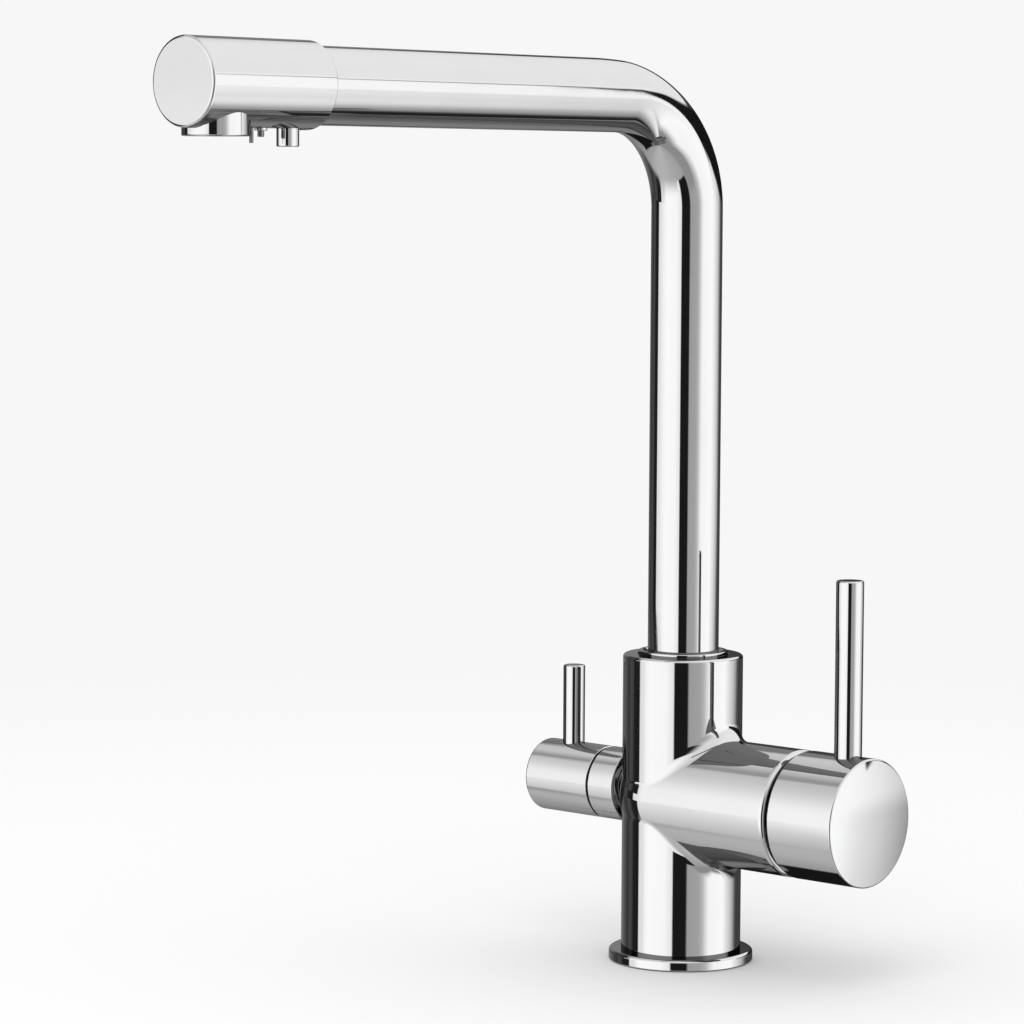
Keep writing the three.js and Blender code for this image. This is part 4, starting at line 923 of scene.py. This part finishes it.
def add_head_wall(surface):
    """Outside wall as a grid in three lengths, the middle one flat below; it is open over the aerator."""
    angles = [2 * math.pi * j / TURN_SIDES for j in range(TURN_SIDES)]
    rays = [TO_FRONT.to_3x3() @ Vector((math.cos(angle), math.sin(angle), 0)) for angle in angles]
    flattened = [-ray.z * HEAD_R > FLAT_DROP for ray in rays]
    down = Vector((0, 0, -1))
    lengths = [(HEAD_REAR + REAR_EDGE, FLAT_START, False), (FLAT_START, AERATOR_Y, True),
               (AERATOR_Y, HEAD_FRONT - FRONT_EDGE, False)]
    ends = []
    for start, end, milled in lengths:
        steps = max(2, round((end - start) * HEAD_ROWS_PER_MM))
        rings = []
        for i in range(steps + 1):
            spots = [ray * HEAD_R + Vector((0, -start - (end - start) * i / steps, SPOUT_Z)) for ray in rays]
            for spot, flat in zip(spots, flattened):
                if milled and flat:
                    spot.z = SPOUT_Z - FLAT_DROP
            rings.append(surface.ring(spots))
        normals = [down if milled and flat else ray for ray, flat in zip(rays, flattened)]
        for low, high in zip(rings, rings[1:]):
            for j in range(TURN_SIDES):
                k = (j + 1) % TURN_SIDES
                corners = [low[j], low[k], high[k], high[j]]
                middle = sum((surface.points[c] for c in corners), Vector()) / 4
                from_aerator = math.hypot(middle.x, middle.y + AERATOR_Y)
                if middle.z < SPOUT_Z and from_aerator < AERATOR_SEAT_R + 0.3:
                    continue
                surface.face(corners, [normals[j], normals[k], normals[k], normals[j]])
        ends.append((rings[0], rings[-1]))
    # Low wall where the flat starts.
    whole, milled = ends[0][1], ends[1][0]
    for j in range(TURN_SIDES):
        k = (j + 1) % TURN_SIDES
        if flattened[j] and flattened[k]:
            surface.face([whole[j], whole[k], milled[k], milled[j]], [Vector((0, -1, 0))] * 4)


def spout_head():
    """Cap on the pipe's end with the aerator's boss and the flat milled under it for the small outlets."""
    surface = Surface()
    seat = PIPE_R + FIT
    stop = PIPE_TIP + FIT
    add_head_wall(surface)
    add_turned(surface, [
        (HEAD_R, HEAD_FRONT - FRONT_EDGE, 0), (HEAD_R, HEAD_FRONT, FRONT_EDGE), (0, HEAD_FRONT, 0),
    ], closed=False, matrix=TO_FRONT)
    add_turned(surface, [
        (0, stop, 0), (seat, stop, 0), (seat, HEAD_REAR, 0.15), (HEAD_R, HEAD_REAR, 0.35),
        (HEAD_R, HEAD_REAR + REAR_EDGE, 0),
    ], closed=False, matrix=TO_FRONT)
    # Boss of the aerator, hollow from below, and the small boss of the screw.
    add_turned(surface, [
        (AERATOR_HOLE_R, AERATOR_ROOT, 0), (AERATOR_R, AERATOR_ROOT, 0), (AERATOR_R, AERATOR_DROP, 0.45),
        (AERATOR_SEAT_R, AERATOR_DROP, 0.3), (AERATOR_SEAT_R, AERATOR_SEAT_DROP, 0),
        (AERATOR_HOLE_R, AERATOR_SEAT_DROP, 0),
    ], matrix=hanging(AERATOR_Y))
    add_turned(surface, [
        (0, BOSS_ROOT, 0), (BOSS_R, BOSS_ROOT, 0), (BOSS_R, BOSS_DROP, 0.25), (0, BOSS_DROP, 0),
    ], sides=SMALL_SIDES, closed=False, matrix=hanging(SCREW_Y))
    return surface.object("head_shell")


dress(spout_head(), "spout", "chrome", "spout_head")

dress(turned("outlet_ring", [
    (RING_IN, RING_TOP, 0.2), (RING_OUT, RING_TOP, 0.2),
    (RING_OUT, RING_DROP, 0.3), (RING_IN, RING_DROP, 0.25),
], hanging(AERATOR_Y)), "spout", "chrome", "aerator_ring")

dress(turned("filtered_outlet", [
    (NOZZLE_BORE_R, NOZZLE_ROOT, 0), (NOZZLE_R, NOZZLE_ROOT, 0), (NOZZLE_R, NOZZLE_DROP, 0.4),
    (NOZZLE_MOUTH_R, NOZZLE_DROP, 0.25), (NOZZLE_MOUTH_R, NOZZLE_SHOULDER, 0),
    (NOZZLE_BORE_R, NOZZLE_SHOULDER, 0),
], hanging(NOZZLE_Y), sides=SMALL_SIDES), "spout", "chrome", "filter_nozzle")

dress(turned("outlet_liner", [
    (NOZZLE_BORE_R, LINER_START, 0.1), (LINER_R, LINER_START, 0.1),
    (LINER_R, LINER_DROP, 0.2), (NOZZLE_BORE_R, LINER_DROP, 0.25),
], hanging(NOZZLE_Y), sides=SMALL_SIDES), "spout", "white_plastic", "nozzle_liner")

dress(turned("pad_screw", [
    (0, SCREW_ROOT, 0), (SCREW_R, SCREW_ROOT, 0), (SCREW_R, SCREW_DROP, 0.25),
    (SCREW_SLOT_R, SCREW_DROP, 0.1), (0.45, SCREW_DROP - SCREW_SLOT_DEPTH, 0),
    (0, SCREW_DROP - SCREW_SLOT_DEPTH, 0),
], hanging(SCREW_Y), sides=32, closed=False), "spout", "steel", "head_screw")

dress(turned("pad_pin", [
    (0, PIN_ROOT, 0), (PIN_R, PIN_ROOT, 0), (PIN_R, PIN_DROP, 0.25), (0, PIN_DROP, 0),
], hanging(PIN_Y), sides=32, closed=False), "spout", "steel", "head_pin")

# ---- Looks of the solids that show as they are ---------------------------------------------------------

SLOTS = {entry["node"]: entry["material_slot"] for entry in frame["record"]["subparts"]}
for node, solid in frame["nodes"].items():
    if not solid.data.materials:
        solid.data.materials.append(None)
    for index in range(len(solid.data.materials)):
        solid.data.materials[index] = LOOKS[SLOTS[node]]

# ---- Floor, studio light and surroundings --------------------------------------------------------------

PAPER = 0.93
FLOOR_REACH = 6.0
FLOOR_LEVEL = -0.0003
FADE_START = 0.3
FADE_END = 1.1


def floor():
    """Pale floor; away from the tap it fades into the backdrop's own brightness."""
    mesh = bpy.data.meshes.new("studio_floor")
    corners = [(-1, -1), (1, -1), (1, 1), (-1, 1)]
    spots = [(x * FLOOR_REACH, y * FLOOR_REACH, FLOOR_LEVEL) for x, y in corners]
    mesh.from_pydata(spots, [], [(0, 1, 2, 3)])
    made = bpy.data.objects.new("studio_floor", mesh)
    bpy.context.scene.collection.objects.link(made)
    paper = bpy.data.materials.new("paper_floor")
    paper.use_nodes = True
    nodes = Nodes(paper.node_tree)
    place = nodes.place()
    distance = nodes.add("ShaderNodeVectorMath", {0: place}, operation="LENGTH").outputs["Value"]
    fade = nodes.step(distance, FADE_START, FADE_END)
    matt = nodes.add("ShaderNodeBsdfDiffuse", {"Color": grey(PAPER)})
    glow = nodes.add("ShaderNodeEmission", {"Color": grey(PAPER), "Strength": 1.0})
    mixed = nodes.add("ShaderNodeMixShader", {0: fade, 1: matt.outputs[0], 2: glow.outputs[0]})
    nodes.add("ShaderNodeOutputMaterial", {"Surface": mixed.outputs[0]})
    mesh.materials.append(paper)
    made.visible_glossy = False
    made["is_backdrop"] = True


floor()

# The studio as the chrome shows it. Each row goes by bearing from the camera's (degrees, positive to the
# right). The first three give the brightness of the walls, of the ceiling and of what lies below: soft boxes
# to the left and right, with dark gaps in front and behind. The others give the elevations between which the
# walls pass into the ceiling, and into what lies below. The values were given to match readings of the
# photograph's brightness in the directions that its chrome mirrors.
WALLS = [
    (-180, 0.2), (-170, 0.18), (-160, 0.12), (-151, 0.08), (-143, 0.05), (-136, 0.035), (-129, 0.065),
    (-124, 0.06), (-117, 0.015), (-102.5, 0.01), (-101, 0.78), (-90, 0.82), (-80, 0.94), (-65, 1.03),
    (-32, 1.0), (-24, 0.9), (-17.3, 0.84), (-15.6, 0.01), (9.5, 0.01), (12, 0.34), (34, 0.38), (42, 0.5),
    (48, 0.74), (55, 0.97), (90, 1.03), (97, 0.97), (106, 0.84), (116, 0.67), (124, 0.5), (130, 0.34),
    (136, 0.12), (143, 0.05),
]
CEILING = [
    (-180, 0.55), (-169, 0.6), (-160, 0.57), (-153, 0.53), (-146, 0.57), (-130, 0.58), (-124, 0.5),
    (-118, 0.42), (-112, 0.31), (-107, 0.31), (-104, 0.54), (-92, 0.58), (-60, 0.7), (0, 0.72), (60, 0.76),
    (90, 0.83), (130, 0.85), (165, 0.83), (175, 0.75),
]
BELOW = [
    (-180, 0.2), (-164, 0.23), (-156, 0.27), (-146, 0.31), (-136, 0.33), (-125, 0.36), (-116, 0.4),
    (-108, 0.43), (-96, 0.46), (-60, 0.46), (-25, 0.4), (5, 0.36), (15, 0.28), (93, 0.25), (97, 0.7),
    (100, 0.88), (104, 0.8), (108, 0.68), (112, 0.5), (116, 0.38), (120, 0.3), (123, 0.22), (126, 0.07),
    (130, 0.012), (137, 0.018), (143, 0.05), (150, 0.085), (161, 0.13), (170, 0.2),
]
RISE_START = [
    (-180, 27), (-171, 33), (-156, 41), (-112, 42), (-95, 9), (75, 9), (90, 15), (125, 15.5), (150, 18),
    (170, 20), (176, 24),
]
RISE_END = [
    (-180, 30), (-171, 36), (-156, 44), (-112, 45), (-95, 48), (60, 48), (90, 18), (125, 17.5), (150, 20),
    (170, 23), (176, 27),
]
FALL_START = [
    (-180, 12), (-165, 14), (-150, 28), (-100, 28), (-88, 12), (-80, 1), (-68, 14), (-26, 14), (-22, 33),
    (9, 33), (14, 11), (34, 11), (42, 42), (93, 42), (98, 18),
]
FALL_END = [
    (-180, 24), (-165, 26), (-150, 38), (-68, 42), (-26, 42), (-22, 36), (9, 36), (14, 22), (34, 22),
    (42, 66), (93, 66), (98, 34),
]
# Dark doorway far behind on the right, which the bend shows as a sickle along its outer side: from its foot
# up to where it fades out.
DOOR_FOOT = [
    (98, 0.3), (100, 0.3), (102, 1.2), (104, 1.8), (108, 2.5), (120, 2.5), (131, 1.5), (150, 0.5), (179, -1),
]
DOOR_HEAD_START = [
    (98, 12.3), (100.4, 12), (101.2, 9), (103, 9.8), (105.5, 11.3), (108.5, 12.4), (111, 13), (115, 13.8),
    (120, 15), (126, 15.8), (132, 16.2), (140, 16), (150, 14), (160, 11), (170, 7), (179, 2),
]
DOOR_HEAD_END = [
    (98, 15.4), (100.4, 15.2), (101.2, 12.5), (103, 12.6), (105.5, 13.6), (108.5, 14.4), (111, 15), (115, 16),
    (120, 17.2), (126, 18), (132, 18.5), (140, 18.5), (150, 16.5), (160, 13), (170, 9), (179, 4),
]
DOOR_LEFT = (98.9, 99.9)
DOOR_RIGHT = (179, 174)
# Dark grey of the doorway, and of the painted shadow patch.
DOOR_AND_SHADE_GREY = 0.008
# Below the level of the tap the gap on the right comes forward, by so many degrees of bearing.
RIGHT_LEAN = 11
RIGHT_LEAN_FROM = (82, 98)
RIGHT_LEAN_BELOW = (-4, -8.5)
# The gap on the left does too, and again above what the pipe mirrors, but only where the column sees it.
LEFT_LEAN = 11.5
LEFT_LEAN_FROM = (-70, -86)
LEFT_LEAN_BELOW = (-6.2, -7)
LEFT_LEAN_ABOVE = (1.2, 1.8)
LEFT_LEAN_TOP = (24, 20)
LEFT_LEAN_ASIDE = (-86, -91)
# Seam between wall and ceiling on the right: where it starts and ends in elevation, then in bearing.
SEAM_RISE = (12.2, 13.6)
SEAM_FALL = (15.4, 14.0)
SEAM_LEFT = (88, 99)
SEAM_RIGHT = (101, 99.6)
SEAM_SHARE = 0.75
SEAM_GREY = 0.1
# Painted shadow: dark patch low down behind on the left, where the floor lies in the tap's shade; its edge is
# curved.
SHADE_BEARING = (-138, -144)
SHADE_START = -147.0
SHADE_DEPTH = 48.0
SHADE_CURVE = -0.03
INNER_SHADE_SHARE = 0.2  # painted shade: brightness left in what the tap's parts show of each other's reflections, darkening the places between parts
INNER_DEPTH = (2.4, 2.6)
LIGHT_LEVEL = 0.97
RAMP_STOPS = 32  # as many as a colour ramp holds
DEGREES = 90.0  # rows of angles are kept as shares of this


def bearing_row(nodes, place, stops, scale=1.0):
    """A row of values over the bearing; place is the bearing as a share of the full turn."""
    ramp = nodes.add("ShaderNodeValToRGB", {"Fac": place})
    elements = ramp.color_ramp.elements
    while len(elements) > 1:
        elements.remove(elements[-1])
    elements[0].position = 0
    elements[0].color = grey(stops[0][1] / scale)
    for bearing, value in stops[1:]:
        elements.new((bearing + 180) / 360).color = grey(value / scale)
    if len(elements) < RAMP_STOPS:
        elements.new(1.0).color = grey(stops[0][1] / scale)
    if scale == 1.0:
        return ramp.outputs[0]
    return nodes.times(ramp.outputs[0], scale)


def room(nodes, bearing, elevation):
    """What the chrome shows in a direction: walls, ceiling, what lies below, then the patches."""

    def share(angle):
        return nodes.math("MINIMUM", nodes.math("DIVIDE", nodes.math("ADD", angle, 180), 360), 0.999)

    plain = share(bearing)

    def angles(stops):
        return bearing_row(nodes, plain, stops, DEGREES)

    right = nodes.times(nodes.step(bearing, *RIGHT_LEAN_FROM),
                        nodes.step(elevation, *RIGHT_LEAN_BELOW, 0.0, RIGHT_LEAN))
    above = nodes.times(nodes.step(elevation, *LEFT_LEAN_ABOVE), nodes.step(elevation, *LEFT_LEAN_TOP),
                        nodes.step(bearing, *LEFT_LEAN_ASIDE))
    apart = nodes.math("ADD", nodes.step(elevation, *LEFT_LEAN_BELOW), above)
    left = nodes.times(nodes.step(bearing, *LEFT_LEAN_FROM), apart, LEFT_LEAN)
    leaning = nodes.math("SUBTRACT", nodes.math("ADD", bearing, right), left)
    depth = nodes.times(elevation, -1.0)
    rise = nodes.step(elevation, angles(RISE_START), angles(RISE_END))
    fall = nodes.step(depth, angles(FALL_START), angles(FALL_END))
    seen = nodes.blend(rise, bearing_row(nodes, share(leaning), WALLS), bearing_row(nodes, plain, CEILING))
    seen = nodes.blend(fall, seen, bearing_row(nodes, plain, BELOW))
    behind = nodes.math("MAXIMUM", nodes.math("SUBTRACT", SHADE_START, bearing), 0.0)
    shade_edge = nodes.math("ADD", nodes.times(behind, behind, SHADE_CURVE), SHADE_DEPTH)
    shade = nodes.times(nodes.step(nodes.math("SUBTRACT", depth, shade_edge), -1.0, 1.5),
                        nodes.step(bearing, *SHADE_BEARING))
    # Painted shadow: the floor's shade near the tap, laid into the studio as a dark patch that the chrome
    # mirrors.
    seen = nodes.blend(shade, seen, grey(DOOR_AND_SHADE_GREY))
    seam = nodes.times(nodes.step(elevation, *SEAM_RISE), nodes.step(elevation, *SEAM_FALL),
                       nodes.step(bearing, *SEAM_LEFT, 0.0, SEAM_SHARE), nodes.step(bearing, *SEAM_RIGHT))
    seen = nodes.blend(seam, seen, grey(SEAM_GREY))
    door = nodes.times(nodes.step(nodes.math("SUBTRACT", elevation, angles(DOOR_FOOT)), -0.5, 0.5),
                       nodes.step(elevation, angles(DOOR_HEAD_END), angles(DOOR_HEAD_START)),
                       nodes.step(bearing, *DOOR_LEFT), nodes.step(bearing, *DOOR_RIGHT))
    return nodes.blend(door, seen, grey(DOOR_AND_SHADE_GREY))


def surroundings():
    """White studio round the tap, with dark gaps that show only in the chrome."""
    world = bpy.data.worlds.new("studio")
    bpy.context.scene.world = world
    world.use_nodes = True
    nodes = Nodes(world.node_tree)
    direction = nodes.add("ShaderNodeTexCoord").outputs["Generated"]
    x, y, z = nodes.add("ShaderNodeSeparateXYZ", {0: direction}).outputs
    turn = nodes.math("DEGREES", nodes.math("ARCTAN2", x, nodes.times(y, -1.0)))
    bearing = nodes.math("WRAP", nodes.math("SUBTRACT", turn, CAMERA_AZIMUTH), 180, -180)
    elevation = nodes.math("DEGREES", nodes.math("ARCSINE", z))
    rays = nodes.add("ShaderNodeLightPath").outputs
    # Painted shade: what the parts mirror of each other is dimmed with ray depth, towards black.
    inner = nodes.step(rays["Ray Depth"], *INNER_DEPTH, 0.0, 1.0 - INNER_SHADE_SHARE)
    seen = nodes.blend(inner, room(nodes, bearing, elevation), grey(0.0))
    mirrored = nodes.math("MAXIMUM", rays["Is Glossy Ray"], rays["Is Transmission Ray"])
    light = nodes.blend(rays["Is Camera Ray"], grey(LIGHT_LEVEL), grey(PAPER))
    colour = nodes.blend(mirrored, light, seen)
    background = nodes.add("ShaderNodeBackground", {"Color": colour, "Strength": 1.0})
    nodes.add("ShaderNodeOutputWorld", {"Surface": background.outputs[0]})


surroundings()

LAMP_AIM = (0, -0.08, 0.12)


def soft_lamp(name, spot, size, power):
    """A large soft lamp aimed at the tap, in metres and watts; the chrome shows the studio instead of it."""
    data = bpy.data.lights.new(name, "AREA")
    data.shape = "DISK"
    data.size = size
    data.energy = power
    lamp = bpy.data.objects.new(name, data)
    bpy.context.scene.collection.objects.link(lamp)
    lamp.location = spot
    aim = Vector(LAMP_AIM) - Vector(spot)
    lamp.rotation_euler = aim.to_track_quat("-Z", "Y").to_euler()
    lamp.visible_glossy = False


soft_lamp("key_lamp", (0.5, -0.9, 1.5), size=1.2, power=5)

bpy.context.scene.view_settings.view_transform = "Standard"

visual_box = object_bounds()
sizes = {"cad": cad_box, "visual": visual_box}
{name: [[float(v) for v in corner] for corner in box] for name, box in sizes.items()}
